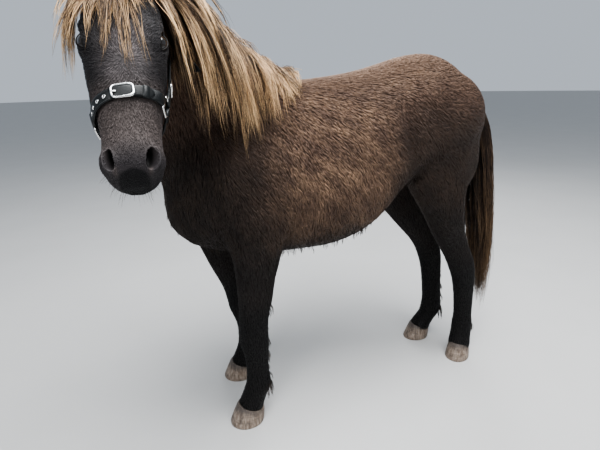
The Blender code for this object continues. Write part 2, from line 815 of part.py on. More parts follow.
def leant(out, wide, rise):
    """The way out, leant so that a strap lies flat where the surface rises by this much over its width."""
    return (out - wide * min(0.6, max(-0.6, rise / STRAP_WIDTH))).normalized()


def taut_loop(tree, centre, first, second, count):
    """Points of a band pulled tight round what the tree holds, with the way out at each one."""
    hits = []
    rises = []
    wide = first.cross(second)
    for k in range(96):
        angle = 2 * math.pi * k / 96
        way = first * math.cos(angle) + second * math.sin(angle)
        reach = [tree.ray_cast(centre + wide * STRAP_WIDTH / 2 * edge, way)[3] for edge in (-1, 0, 1)]
        hits.append((reach[1] * math.cos(angle), reach[1] * math.sin(angle)))
        rises.append(reach[2] - reach[0])
    outline = hull_of(hits)
    outline.append(outline[0])
    lengths = np.linalg.norm(np.diff(np.array(outline), axis=0), axis=1)
    walked = np.concatenate([[0], np.cumsum(lengths)])
    even = np.linspace(0, walked[-1], count, endpoint=False)
    xs = np.interp(even, walked, [p[0] for p in outline])
    ys = np.interp(even, walked, [p[1] for p in outline])
    loop = []
    for k in range(count):
        ahead = Vector((xs[(k + 1) % count] - xs[k - 1], ys[(k + 1) % count] - ys[k - 1])).normalized()
        at = round(math.atan2(ys[k], xs[k]) / (2 * math.pi) * 96)
        rise = sum(rises[(at + near) % 96] for near in (-2, -1, 0, 1, 2)) / 5
        out = leant(first * ahead.y - second * ahead.x, wide, rise)
        loop.append((centre + first * float(xs[k]) + second * float(ys[k]) + out * STRAP_LIFT, out))
    return loop


def strap(points, width_way, ends=True, thick_ends=False, width=STRAP_WIDTH, thickness=STRAP_THICKNESS):
    """A flat strap through points with their ways out, thicker where its ends fold back."""
    rings = []
    for i, (point, out) in enumerate(points):
        folded = thick_ends and i in (0, 1, len(points) - 2, len(points) - 1)
        rise = out * thickness * (2 if folded else 1)
        run = points[min(i + 1, len(points) - 1)][0] - points[max(i - 1, 0)][0]
        half = run.cross(out).normalized() * width / 2
        if half.dot(width_way) < 0:
            half = -half
        rings.append([point - half, point + half, point + half + rise, point - half + rise])
    if ends:
        return tube(rings)
    bm = bmesh.new()
    made = [[bm.verts.new(p) for p in ring] for ring in rings]
    for i in range(len(made)):
        lower = made[i]
        upper = made[(i + 1) % len(made)]
        for k in range(4):
            bm.faces.new((lower[k], lower[(k + 1) % 4], upper[(k + 1) % 4], upper[k]))
    return object_of(mesh_of(bm))


def frame_ring(centre, along, across, half_length, half_width, bar):
    """A metal ring with four rounded corners, lying in the plane of along and across."""
    out = along.cross(across).normalized()
    corner = 0.35 * min(half_length, half_width)
    rings = []
    for quarter in range(4):
        for step in range(2):
            angle = math.radians(90 * quarter + 90 * step)
            sx = 1 if quarter in (0, 3) else -1
            sy = 1 if quarter in (0, 1) else -1
            middle = along * (half_length - corner) * sx + across * (half_width - corner) * sy
            way = along * math.cos(angle) + across * math.sin(angle)
            ring = []
            for k in range(6):
                turn = 2 * math.pi * (k + 0.5) / 6
                round_bar = way * (corner + bar * math.cos(turn)) + out * bar * math.sin(turn)
                ring.append(centre + middle + round_bar)
            rings.append(ring)
    bm = bmesh.new()
    made = [[bm.verts.new(p) for p in ring] for ring in rings]
    for i in range(len(made)):
        lower = made[i]
        upper = made[(i + 1) % len(made)]
        for k in range(6):
            bm.faces.new((lower[k], lower[(k + 1) % 6], upper[(k + 1) % 6], upper[k]))
    return object_of(mesh_of(bm))


def arc_between(loop, start, end):
    """The part of a loop from the point nearest to start to that nearest to end, the way its points run."""
    first = min(range(len(loop)), key=lambda i: (loop[i][0] - start).length)
    last = min(range(len(loop)), key=lambda i: (loop[i][0] - end).length)
    if last < first:
        last += len(loop)
    return [loop[i % len(loop)] for i in range(first, last + 1)]


def nearest_of(loop, place):
    return min(loop, key=lambda item: (item[0] - place).length)


HEADCOLLAR_ORDER = ("ring", "buckle", "noseband", "chinband", "crownpiece", "throatlash", "cheekpiece", "end")


def headcollar(tree):
    """The headcollar's straps and metal, each a piece of its own, by name."""
    down, brow, right = (HEAD_AXES.col[i].copy() for i in range(3))
    upward = (brow - down * NOSEBAND_RISE).normalized()
    aside = right + down * NOSEBAND_TIP
    aside = (aside - upward * aside.dot(upward)).normalized()
    nose_width_way = upward.cross(aside)
    nose_loop = taut_loop(tree, on_head(*NOSEBAND_MIDDLE, 0), upward, aside, 28)
    top = on_head(-0.020, -0.030, 0)
    throat = on_head(0.128, -0.168, 0)
    fall = (throat - top).normalized()
    crown_width_way = right.cross(fall).normalized()
    neck_loop = taut_loop(tree, (top + throat) / 2, -fall, right, 28)
    made = {}
    rings = {}
    for side, word in ((-1, "left"), (1, "right")):
        nose_at = nearest_of(nose_loop, on_head(*RING_AT[side], side * 0.06))
        neck_at = nearest_of(neck_loop, on_head(0.075, -0.100, side * 0.08))
        rings[word] = (nose_at, neck_at)
        for name, (point, out), along in (("ring_nose_", nose_at, nose_width_way), ("ring_cheek_", neck_at, -fall)):
            across = out.cross(along).normalized()
            place = point + out * (STRAP_THICKNESS + 0.0002)
            made[name + word] = frame_ring(place, across.cross(out), across, RING_HALF, RING_HALF, RING_BAR)
    for name, loop, width_way, which, order in (
        ("noseband", nose_loop, nose_width_way, 0, ("left", "right")),
        ("chinband", nose_loop, nose_width_way, 0, ("right", "left")),
        ("crownpiece", neck_loop, crown_width_way, 1, ("left", "right")),
        ("throatlash", neck_loop, crown_width_way, 1, ("right", "left")),
    ):
        start, end = (rings[word][which][0] for word in order)
        run = arc_between(loop, start, end)
        middle = run[len(run) // 2][0]
        high = (middle - (start + end) / 2).dot(brow if which == 0 else -fall)
        if (high > 0) != (name in ("noseband", "crownpiece")):
            run = arc_between(loop, end, start)
        made[name] = strap(run[1:-1], width_way, thick_ends=True)
        if name == "noseband":
            front = run[1:-1]
    for side, word in ((-1, "left"), (1, "right")):
        (nose_point, nose_out), (neck_point, neck_out) = rings[word]
        run = cheek_run(tree, nose_point, neck_point, right * side)
        along = (neck_point - nose_point).normalized()
        width_way = along.cross(right * side).normalized()
        made["cheekpiece_" + word] = strap(run, width_way, thick_ends=True)
        if word == "left":
            made["end_strap"] = free_end(run, width_way, along)
            point, out = run[2]
            made["buckle_cheek"] = frame_ring(point + out * 0.0062, along, width_way, 0.0105, 0.0125, 0.0020)
    if (front[0][0] - front[-1][0]).dot(right) > 0:
        front.reverse()
    middle = max(range(len(front)), key=lambda i: front[i][0].dot(brow))
    boolean(made["noseband"], billet(front, middle, nose_width_way), "UNION")
    made["buckle_nose"] = buckle(*front[middle], nose_width_way)
    chin = min(nose_loop, key=lambda item: item[0].dot(brow))
    drop = chin[0] + chin[1] * (STRAP_THICKNESS + 0.0125)
    made["ring_lead"] = frame_ring(drop, chin[1], down.cross(chin[1]), 0.0115, 0.0125, 0.0022)
    return made


def free_end(run, width_way, along):
    """The loose end of the crown strap, which lies on the cheek strap, then stands off it, cut to a point."""
    points = []
    for k, lift in enumerate((0.0008, 0.0050, 0.028, 0.055)):
        point, out = run[len(run) - 1 - k]
        points.append((point + out * (STRAP_THICKNESS + lift), out))
    end = strap(points, width_way)
    tip, out = points[-1]
    for side in (-1, 1):
        flat = Matrix((along, width_way, along.cross(width_way))).transposed()
        turn = flat @ Matrix.Rotation(math.radians(38 * side), 3, "Z")
        corner = tip - along * 0.002 + width_way * side * 0.016
        boolean(end, [block(corner, (0.02, 0.0075, 0.03), turn)], "DIFFERENCE")
    return largest(end)


def billet(front, middle, width_way):
    """The strap's free end fills the buckle, passes the keeper, and lies on the strap towards the left."""
    point, out = front[middle]
    across = out.cross(width_way).normalized()
    turn = Matrix((across, width_way, across.cross(width_way))).transposed()
    filling = block(point + out * (STRAP_THICKNESS + 0.0012), (0.0137, 0.0075, 0.0020), turn)
    over = [(p + o * STRAP_THICKNESS * 0.8, o) for p, o in front[2 : middle - 1]]
    keeper = [(p - o * 0.0010, o) for p, o in (front[middle - 2], front[middle - 1])]
    keeper[1] = (keeper[0][0].lerp(keeper[1][0], 0.45), keeper[0][1])
    tail = strap(over, width_way, width=STRAP_WIDTH * 0.94, thickness=STRAP_THICKNESS * 0.8)
    loop = strap(keeper, width_way, width=STRAP_WIDTH * 1.16, thickness=STRAP_THICKNESS * 2.5)
    return [filling, tail, loop]


def buckle(point, out, width_way):
    """The noseband's buckle: a rounded frame on the strap, and the tip of its tongue."""
    across = out.cross(width_way).normalized()
    centre = point + out * (STRAP_THICKNESS + BUCKLE_BAR + 0.0003)
    frame = frame_ring(centre, across, width_way, BUCKLE_HALF[0], BUCKLE_HALF[1], BUCKLE_BAR)
    turn = Matrix((across, width_way, across.cross(width_way))).transposed()
    far = across if across.dot(HEAD_AXES.col[2]) > 0 else -across
    tongue = block(centre + far * 0.0130 + out * 0.0012, (0.0056, 0.0018, 0.0014), turn)
    return boolean(frame, [tongue], "UNION")


def cheek_run(tree, start, end, out):
    """Points of a strap along the cheek between two rings, pulled tight over its swell."""
    along = (end - start).normalized()
    out = (out - along * out.dot(along)).normalized()
    length = (end - start).length
    wide = along.cross(out)
    hits = []
    rises = []
    for k in range(41):
        base = start + along * (length * k / 40) + out * 0.15
        reach = [tree.ray_cast(base + wide * STRAP_WIDTH / 2 * edge, -out)[3] for edge in (-1, 0, 1)]
        hits.append((length * k / 40, 0.15 - reach[1]))
        rises.append(reach[0] - reach[2])
    lower = min(p[1] for p in hits) - 0.1
    outline = [p for p in hull_of([*hits, (0.0, lower), (length, lower)]) if p[1] > lower + 1e-6]
    outline.sort()
    walked = np.linspace(0.012, length - 0.012, CHEEK_POINTS)
    heights = np.interp(walked, [p[0] for p in outline], [p[1] for p in outline])
    run = []
    for i in range(CHEEK_POINTS):
        before = max(0, i - 1)
        after = min(CHEEK_POINTS - 1, i + 1)
        lean = (heights[after] - heights[before]) / (walked[after] - walked[before])
        way = (out - along * float(lean)).normalized()
        way = leant(way, wide, rises[round(walked[i] / length * 40)])
        run.append((start + along * float(walked[i]) + out * float(heights[i]) + way * STRAP_LIFT, way))
    return run


def lock(points, outs, width, thickness, full=0.35):
    """A flat lock of hair through points: three-sided, ridged outside, and tapering from part-way along."""
    rings = []
    count = len(points)
    for i in range(count - 1):
        t = i / (count - 1)
        run = points[i + 1] - points[max(0, i - 1)]
        across = run.cross(outs[i]).normalized()
        out = across.cross(run).normalized()
        swell = 0.6 + 0.4 * t / full if t < full else 1 - 0.9 * ((t - full) / (1 - full)) ** 2.0
        half = max(0.0018, width / 2 * swell)
        rise = max(0.0010, thickness / 2 * (1 - 0.5 * t))
        middle = points[i]
        under = middle - out * rise
        rings.append([under - across * half, under + across * half, middle + out * rise])
    bm = bmesh.new()
    made = [[bm.verts.new(p) for p in ring] for ring in rings]
    for lower, upper in zip(made, made[1:]):
        for k in range(3):
            bm.faces.new((lower[k], lower[(k + 1) % 3], upper[(k + 1) % 3], upper[k]))
    tip = bm.verts.new(points[-1])
    for k in range(3):
        bm.faces.new((made[-1][k], made[-1][(k + 1) % 3], tip))
    bm.faces.new(made[0][::-1])
    return object_of(mesh_of(bm))


def draped(tree, root, heading, length, lift, weight, steps=6, sink=0.012, floor=0.012, start=0.0):
    """The path of a lock and the ways out along it. It leaves the root, bends over by its weight, and lies
    a little above what is under it; lift is one height or a function of the share of its length. Of that
    path it gives what comes after the share start."""
    rise = lift if callable(lift) else lambda share: lift * min(1, 0.4 + 1.2 * share)
    points = [root - heading * sink]
    normal = tree.find_nearest(root)[1]
    outs = [normal]
    place = root.copy()
    way = heading.normalized()
    stride = length / steps
    for step in range(1, steps + 1):
        way = (way * (1 - weight) + DOWN * weight).normalized()
        ahead = place + way * stride
        for _ in range(2):
            nearest, normal, _, _ = tree.find_nearest(ahead)
            want = rise(step / steps)
            above = (ahead - nearest).dot(normal)
            if above < want:
                ahead = nearest + normal * want
        ahead.z = max(ahead.z, floor)
        way = (ahead - place).normalized()
        points.append(ahead)
        outs.append(normal)
        place = ahead
    first = int(start * steps)
    return points[first:], outs[first:]


def material(name):
    """One material: its colour, roughness and how metallic it is."""
    colour, roughness, metallic = MATERIALS[name]
    made = bpy.data.materials.get(name) or bpy.data.materials.new(name)
    made.use_nodes = True
    shader = made.node_tree.nodes["Principled BSDF"]
    shader.inputs["Base Color"].default_value = (*colour, 1)
    shader.inputs["Roughness"].default_value = roughness
    shader.inputs["Metallic"].default_value = metallic
    return made


def finished(piece, name):
    """Names a piece as a node, and gives it its material and soft shading."""
    piece.name = name
    piece.data.name = name
    kind = next(kind for kind in NODE_MATERIALS if kind in name)
    piece.data.materials.clear()
    piece.data.materials.append(material(NODE_MATERIALS[kind]))
    piece.data.shade_smooth()
    piece.data.set_sharp_from_angle(angle=math.radians(40))
    return piece


def crest_point(t):
    """The crest at a share of its length, from the poll to the withers, and the way the neck runs there."""
    rows = np.array([row[:3] for row in NECK])[::-1]
    walked = np.concatenate([[0], np.cumsum(np.linalg.norm(np.diff(rows, axis=0), axis=1))])
    at = walked[-1] * t
    point = Vector([float(np.interp(at, walked, rows[:, k])) for k in range(3)])
    ahead = Vector([float(np.interp(at + 0.02, walked, rows[:, k])) for k in range(3)])
    behind = Vector([float(np.interp(at - 0.02, walked, rows[:, k])) for k in range(3)])
    return point, (ahead - behind).normalized()


def mane_place(tree, t, side, spread):
    """Where a lock roots beside the crest at a share of its length, and the way it first grows."""
    point, run = crest_point(t)
    left = run.cross(UP).normalized()
    if left.y > 0:
        left = -left
    left *= side
    surface = tree.find_nearest(point + UP * 0.03 + left * spread)[0]
    return surface, left, run


# The mane's length at shares of the crest, from the poll back.
MANE_LENGTHS = (
    (0.00, 0.37),
    (0.12, 0.38),
    (0.32, 0.39),
    (0.50, 0.33),
    (0.68, 0.24),
    (0.85, 0.14),
    (1.00, 0.09),
)


def mane_length(t):
    return float(np.interp(t, [row[0] for row in MANE_LENGTHS], [row[1] for row in MANE_LENGTHS]))


MANE_CORE_SHARE = 0.48
MANE_CORE_HEIGHTS = (0.029, 0.028, 0.022, 0.016, 0.010, 0.004)


def mane_core(tree):
    """The dense inner half of the mane: a pad over the crest that hangs down the left side of the neck."""
    rings = []
    for t in np.linspace(0.03, 0.92, 12):
        surface, left, run = mane_place(tree, t, 1, 0.0)
        length = mane_length(t) * MANE_CORE_SHARE
        heading = (UP * 0.3 + left).normalized()
        points, outs = draped(tree, surface, heading, length, 0.001, 0.45, steps=5, sink=0)
        far_point, far_out, _, _ = tree.find_nearest(surface - left * 0.026 - UP * 0.012)
        ease = min(1, 0.45 + 4 * t, 0.12 + 2.2 * (1 - t))
        outer = [p + o * h * ease for p, o, h in zip(points, outs, MANE_CORE_HEIGHTS)]
        inner = [p - o * 0.008 for p, o in zip(points, outs)]
        over = [far_point + far_out * 0.012 * ease, surface + (UP - left * 0.4).normalized() * 0.028 * ease]
        rings.append([far_point - far_out * 0.008, *over, *outer, *inner[:0:-1]])
    return tube(rings)


def layer_height(t):
    """The height over the skin of the mane's top layer, lower towards the withers."""
    ease = min(1, 0.3 + 2.2 * (1 - t))
    return lambda share: (0.031 - 0.012 * share) * ease


def mane(tree):
    """The mane's locks, in layers: most fall to the pony's left, longest over the upper neck."""
    rng = random.Random(LOCK_SEED)
    made = []
    for layer, count in enumerate((8, 8, 9)):
        for i in range(count):
            t = 0.03 + 0.86 * (i + 0.33 * layer + rng.uniform(-0.12, 0.12)) / count
            surface, left, run = mane_place(tree, t, 1, 0.004)
            heading = (UP * 0.5 + left * 0.8 - run * rng.uniform(-0.10, 0.16)).normalized()
            length = mane_length(t) * rng.uniform(0.82, 1.08)
            weight = rng.uniform(0.36, 0.44)
            width = rng.uniform(0.040, 0.050)
            step_up = 0.0025 * (i % 2)
            if layer == 2:
                high = layer_height(t)
                points, outs = draped(tree, surface, heading, length, high, weight, steps=7, sink=0.0)
            else:
                high = 0.005 + 0.0075 * layer + step_up
                points, outs = draped(tree, surface, heading, length, high, weight, steps=7, start=0.3)
            made.append(lock(points, outs, width, 0.0055))
    return made


def forelock_core(tree):
    """The dense root of the forelock: a pad between the ears and over the top of the forehead."""
    rings = []
    for share in np.linspace(-1, 1, 7):
        top = tree.find_nearest(on_head(-0.004, 0.03, 0.030 * share))[0]
        low = tree.find_nearest(on_head(0.092 - 0.022 * share * share, 0.06, 0.050 * share))[0]
        points = []
        for step in range(4):
            points.append(tree.find_nearest(top.lerp(low, step / 3))[:2])
        ease = math.sqrt(1 - 0.86 * share * share)
        outer = [p + o * h * ease for (p, o), h in zip(points, (0.008, 0.017, 0.013, 0.003))]
        rings.append([*outer, *[p - o * 0.006 for p, o in points[::-1]]])
    return tube(rings)


def forelock(tree):
    """Locks from between the ears that fan down over the forehead and the brows."""
    rng = random.Random(LOCK_SEED + 1)
    made = []
    for layer, count in enumerate((7, 6)):
        for i in range(count):
            share = (i + 0.5) / count * 2 - 1
            surface = tree.find_nearest(on_head(0.012 + 0.006 * layer, 0.05, share * 0.030))[0]
            fan = HEAD_AXES @ Vector((0.62, 0.60, 1.05 * share + rng.uniform(-0.05, 0.05)))
            length = rng.uniform(0.170, 0.215) * (1 - 0.16 * abs(share)) * (0.72 if share < -0.45 else 1)
            high = 0.006 + 0.008 * layer + 0.022 * max(0, share - 0.25)
            start = 0.15 * (1 - layer)
            points, outs = draped(tree, surface, fan.normalized(), length, high, 0.34, steps=7, start=start)
            made.append(lock(points, outs, rng.uniform(0.026, 0.033), 0.0055))
    return made


TAIL = (
    (0.375, 0.905, 0.026, 0.026),
    (0.412, 0.900, 0.030, 0.030),
    (0.444, 0.868, 0.035, 0.032),
    (0.463, 0.800, 0.042, 0.034),
    (0.480, 0.700, 0.048, 0.037),
    (0.497, 0.600, 0.046, 0.035),
    (0.509, 0.530, 0.034, 0.025),
    (0.514, 0.495, 0.014, 0.010),
)


# The middle of the hanging hair: height, then how far back.
TAIL_LINE = ((0.90, 0.440), (0.76, 0.468), (0.62, 0.490), (0.50, 0.508), (0.36, 0.528), (0.13, 0.534))


def tail_core():
    """The dock with its dense hair."""
    rows = eased([(x, 0, z, half, deep) for x, z, half, deep in TAIL], 0.06)
    rings = []
    for i, (x, _, z, half, deep) in enumerate(rows):
        ahead = rows[min(i + 1, len(rows) - 1)]
        behind = rows[max(i - 1, 0)]
        run = Vector((ahead[0] - behind[0], 0, ahead[2] - behind[2])).normalized()
        back = ACROSS.cross(run).normalized()
        rings.append(oval(Vector((x, 0, z)), ACROSS, back, half, deep, deep, count=12))
    return tube(rings)


def tail_locks():
    """The tail's long hair, in two layers round the dock, narrowing to ragged tips."""
    rng = random.Random(LOCK_SEED + 2)
    made = []
    for layer, count in enumerate((7, 9)):
        for i in range(count):
            round_by = math.radians(-125 + 250 * i / (count - 1) if layer else 360 * i / count)
            way = Vector((math.cos(round_by), math.sin(round_by), 0))
            height = (0.62 if layer == 0 else 0.80) + rng.uniform(-0.05, 0.05)
            end = rng.uniform(0.13, 0.30)
            out = 0.62 if layer == 0 else 1.0
            points = []
            outs = []
            steps = 6
            drift = rng.uniform(-0.008, 0.008)
            for step in range(steps + 1):
                t = step / steps
                z = height + (end - height) * t
                middle = float(np.interp(-z, [-row[0] for row in TAIL_LINE], [row[1] for row in TAIL_LINE]))
                half = 0.050 * (1 - 0.38 * t * t) * out * (1 if step else 0.62)
                deep = 0.040 * (1 - 0.34 * t * t) * out * (1 if step else 0.62)
                bend = 0.004 * math.sin(5 * t + i)
                points.append(Vector((middle + way.x * deep, way.y * half + drift * t + bend, z)))
                outs.append(way)
            made.append(lock(points, outs, rng.uniform(0.029, 0.037), 0.007, full=0.25))
    return made


def feather(name, tree):
    """The tuft behind a fetlock."""
    rng = random.Random(LOCK_SEED + 10 + list(LEGS).index(name))
    made = []
    for i in range(4):
        axis, turn = leg_axis(name, 0.124 - 0.010 * (i % 2))
        round_by = math.radians(-51 + 34 * i)
        way = turn @ Vector((math.cos(round_by), math.sin(round_by), 0))
        surface = tree.find_nearest(axis + way * 0.06)[0]
        heading = (way * 0.55 + DOWN).normalized()
        length = rng.uniform(0.042, 0.056)
        high = 0.005 + 0.006 * (i % 2)
        points, outs = draped(tree, surface, heading, length, high, 0.35, steps=3, sink=0.008, floor=0.016)
        made.append(lock(points, outs, rng.uniform(0.024, 0.029), 0.005))
    return made


def main():
    for old in list(bpy.data.objects):
        bpy.data.objects.remove(old)
    body = flesh()
    skin = surface_of([body])
    nodes = parted(body)
    removed(body)
    head, neck, torso = (nodes[name] for name in ("head", "neck", "torso"))
    faced(head)
    for name in LEGS:
        nodes[name + "_hoof"] = hoof(name)
    for side, word in ((-1, "left"), (1, "right")):
        nodes["eye_" + word] = globe(side, EYE_RADIUS)
        nodes["ear_" + word] = clear_of(ear(side), [head])
    ears = [nodes["ear_left"], nodes["ear_right"]]

    tack = headcollar(skin)
    straps = []
    for name in sorted(tack, key=lambda name: HEADCOLLAR_ORDER.index(name.split("_")[0])):
        straps.append(clear_of(tack[name], [head, neck, *ears, *straps]))
        nodes["halter_" + name] = tack[name]

    haired(head, [forelock_core(skin), *forelock(skin)], [*ears, *straps, neck])
    haired(neck, [mane_core(skin), *mane(skin)], [head, torso, *ears, *straps])
    for band in straps:
        largest(boolean(band, [copied(head), copied(neck)], "DIFFERENCE"))

    tail = boolean(tail_core(), tail_locks(), "UNION")
    behind = [piece for name, piece in nodes.items() if name == "torso" or name.startswith("hind")]
    nodes["tail"] = clear_of(largest(tail), behind)
    for name in LEGS:
        foot = nodes[leg_node(name)]
        horn = nodes[name + "_hoof"]
        haired(foot, feather(name, surface_of([foot, horn])), [horn])

    for name, piece in nodes.items():
        finished(piece, name)
    corners = [vert.co for piece in nodes.values() for vert in piece.data.vertices]
    low = Vector([min(c[k] for c in corners) for k in range(3)])
    high = Vector([max(c[k] for c in corners) for k in range(3)])
    shift = Matrix.Translation(-Vector(((low.x + high.x) / 2, (low.y + high.y) / 2, low.z)))
    for piece in nodes.values():
        piece.data.transform(shift)


main()
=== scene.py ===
# %% [markdown]
# A Shetland pony in its autumn coat, standing still with its face turned to its left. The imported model
# gives its frame: the true size and place of every part. Here it gets its looks. The flesh becomes one
# skin, so that no seam shows, and hair is laid over it as thin solid tufts and strands.

# %% Load the frame
import math

import bmesh
import bpy
import numpy as np
from mathutils import Matrix, Vector
from mathutils.bvhtree import BVHTree


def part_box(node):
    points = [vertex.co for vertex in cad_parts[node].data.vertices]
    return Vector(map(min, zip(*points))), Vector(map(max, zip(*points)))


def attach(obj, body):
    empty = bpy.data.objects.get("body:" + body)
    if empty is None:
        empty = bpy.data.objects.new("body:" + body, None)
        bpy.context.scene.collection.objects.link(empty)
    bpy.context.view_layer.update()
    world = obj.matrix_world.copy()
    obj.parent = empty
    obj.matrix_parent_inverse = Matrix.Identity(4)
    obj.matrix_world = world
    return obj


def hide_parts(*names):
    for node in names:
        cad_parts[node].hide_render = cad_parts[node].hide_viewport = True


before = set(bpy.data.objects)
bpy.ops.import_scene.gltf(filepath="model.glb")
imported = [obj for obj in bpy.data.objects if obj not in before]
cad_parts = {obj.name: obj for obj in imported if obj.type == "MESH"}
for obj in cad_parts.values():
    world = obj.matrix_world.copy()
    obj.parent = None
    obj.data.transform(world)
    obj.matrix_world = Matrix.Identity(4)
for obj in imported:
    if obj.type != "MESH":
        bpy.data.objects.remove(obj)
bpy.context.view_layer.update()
SEED = 11
DOWN = Vector((0, 0, -1))
ACROSS = Vector((0, 1, 0))
UP = Vector((0, 0, 1))
FORWARD = Vector((-1, 0, 0))
SIDES = ((-1, "left"), (1, "right"))

# %% [markdown]
# The frame holds the flesh cut into nodes, with coarse locks fused to them. A skin without seams needs the
# form from before the cuts, so it is lofted again from the same sections, in metres, in the frame that the
# pony was measured in. The head is at -X, the left side is -Y, and the floor is z = 0.

# %% Sections of the torso and neck
# Torso: x, top, widest level, bottom, half width, fullness above, fullness below.
TORSO = (
    (-0.548, 0.735, 0.670, 0.612, 0.040, 2.0, 2.0),
    (-0.530, 0.790, 0.675, 0.580, 0.085, 2.0, 2.2),
    (-0.490, 0.860, 0.690, 0.548, 0.125, 2.0, 2.2),
    (-0.430, 0.915, 0.700, 0.520, 0.150, 1.8, 2.2),
    (-0.350, 0.960, 0.700, 0.502, 0.163, 1.7, 2.2),
    (-0.270, 0.983, 0.690, 0.490, 0.174, 1.7, 2.1),
    (-0.190, 0.968, 0.685, 0.491, 0.194, 1.9, 2.1),
    (-0.100, 0.973, 0.690, 0.497, 0.214, 2.1, 2.1),
    (0.000, 0.986, 0.712, 0.540, 0.221, 2.2, 2.1),
    (0.080, 1.004, 0.750, 0.630, 0.210, 2.2, 2.1),
    (0.160, 1.026, 0.790, 0.685, 0.198, 2.2, 2.1),
    (0.235, 1.034, 0.805, 0.690, 0.190, 2.2, 2.2),
    (0.305, 1.010, 0.805, 0.680, 0.168, 2.1, 2.2),
    (0.360, 0.962, 0.790, 0.642, 0.134, 2.1, 2.2),
    (0.398, 0.900, 0.775, 0.665, 0.090, 2.0, 2.0),
    (0.414, 0.850, 0.765, 0.700, 0.050, 2.0, 2.0),
)

# Neck: crest x, y, z, then underline x, y, z, then half width.
NECK = (
    (-0.150, 0.000, 0.930, -0.392, 0.000, 0.590, 0.120),
    (-0.235, -0.002, 0.978, -0.515, 0.000, 0.655, 0.108),
    (-0.325, -0.014, 1.032, -0.560, -0.012, 0.745, 0.088),
    (-0.410, -0.042, 1.086, -0.588, -0.044, 0.830, 0.074),
    (-0.485, -0.085, 1.130, -0.604, -0.094, 0.905, 0.065),
    (-0.548, -0.140, 1.156, -0.610, -0.160, 0.965, 0.058),
    (-0.590, -0.195, 1.158, -0.612, -0.225, 0.990, 0.050),
)

# %% Sections of the head
# Head: distance from the poll, top, widest level, bottom, half width, fullness above, and below.
HEAD = (
    (-0.006, -0.020, -0.045, -0.070, 0.022, 2.0, 2.0),
    (0.012, 0.008, -0.040, -0.095, 0.046, 2.0, 2.0),
    (0.045, 0.032, -0.025, -0.120, 0.062, 2.2, 2.0),
    (0.085, 0.046, -0.010, -0.142, 0.070, 2.3, 2.0),
    (0.125, 0.052, -0.004, -0.158, 0.072, 2.2, 2.1),
    (0.160, 0.053, -0.006, -0.160, 0.072, 2.1, 2.2),
    (0.200, 0.051, -0.010, -0.144, 0.070, 2.1, 2.3),
    (0.240, 0.048, -0.010, -0.120, 0.064, 2.2, 2.4),
    (0.280, 0.044, -0.014, -0.100, 0.056, 2.2, 2.4),
    (0.320, 0.039, -0.018, -0.086, 0.050, 2.2, 2.1),
    (0.355, 0.034, -0.016, -0.080, 0.051, 2.3, 1.8),
    (0.385, 0.022, -0.018, -0.076, 0.048, 2.3, 1.6),
    (0.402, 0.004, -0.024, -0.068, 0.037, 2.2, 1.6),
    (0.410, -0.014, -0.032, -0.056, 0.018, 2.0, 1.8),
)
print("rings drawn for torso, neck and head", len(TORSO), len(NECK), len(HEAD))

# %% Sections of the legs
# Foreleg: height, set back from the cannon's line, half lengths forward and back, half width.
FORELEG = (
    (0.640, 0.030, 0.100, 0.080, 0.050),
    (0.570, 0.024, 0.084, 0.080, 0.055),
    (0.510, 0.016, 0.064, 0.068, 0.054),
    (0.450, 0.010, 0.053, 0.056, 0.049),
    (0.385, 0.006, 0.047, 0.049, 0.044),
    (0.325, 0.000, 0.041, 0.041, 0.039),
    (0.290, -0.003, 0.041, 0.041, 0.041),
    (0.258, -0.003, 0.042, 0.043, 0.042),
    (0.225, 0.000, 0.036, 0.038, 0.035),
    (0.190, 0.002, 0.033, 0.035, 0.030),
    (0.150, 0.002, 0.033, 0.035, 0.030),
    (0.118, 0.003, 0.036, 0.040, 0.034),
    (0.092, -0.005, 0.037, 0.039, 0.035),
    (0.072, -0.014, 0.037, 0.037, 0.036),
    (0.054, -0.021, 0.038, 0.038, 0.038),
    (0.030, -0.024, 0.037, 0.036, 0.037),
)

# Hind leg, in the same columns.
HINDLEG = (
    (0.840, -0.180, 0.110, 0.140, 0.064),
    (0.760, -0.175, 0.125, 0.135, 0.074),
    (0.680, -0.175, 0.130, 0.118, 0.075),
    (0.610, -0.162, 0.118, 0.092, 0.070),
    (0.550, -0.135, 0.092, 0.072, 0.062),
    (0.490, -0.105, 0.070, 0.062, 0.053),
    (0.435, -0.070, 0.055, 0.054, 0.044),
    (0.390, -0.040, 0.047, 0.050, 0.040),
    (0.352, -0.022, 0.045, 0.048, 0.039),
    (0.315, -0.012, 0.041, 0.044, 0.035),
    (0.260, -0.005, 0.037, 0.039, 0.032),
    (0.200, 0.000, 0.035, 0.037, 0.031),
    (0.150, 0.003, 0.035, 0.038, 0.031),
    (0.118, 0.003, 0.038, 0.041, 0.035),
    (0.092, -0.004, 0.037, 0.039, 0.035),
    (0.072, -0.013, 0.037, 0.037, 0.036),
    (0.054, -0.020, 0.038, 0.038, 0.038),
    (0.030, -0.023, 0.037, 0.036, 0.037),
)

# The left hind leg is turned out, so that it shows a narrower thigh.
HINDLEG_LEFT = (
    (0.840, -0.180, 0.110, 0.140, 0.064),
    (0.760, -0.175, 0.115, 0.135, 0.074),
    (0.680, -0.175, 0.098, 0.118, 0.075),
    (0.610, -0.162, 0.068, 0.094, 0.068),
    (0.550, -0.135, 0.050, 0.074, 0.060),
    (0.490, -0.105, 0.046, 0.063, 0.052),
    (0.435, -0.070, 0.046, 0.054, 0.044),
    *HINDLEG[7:],
)

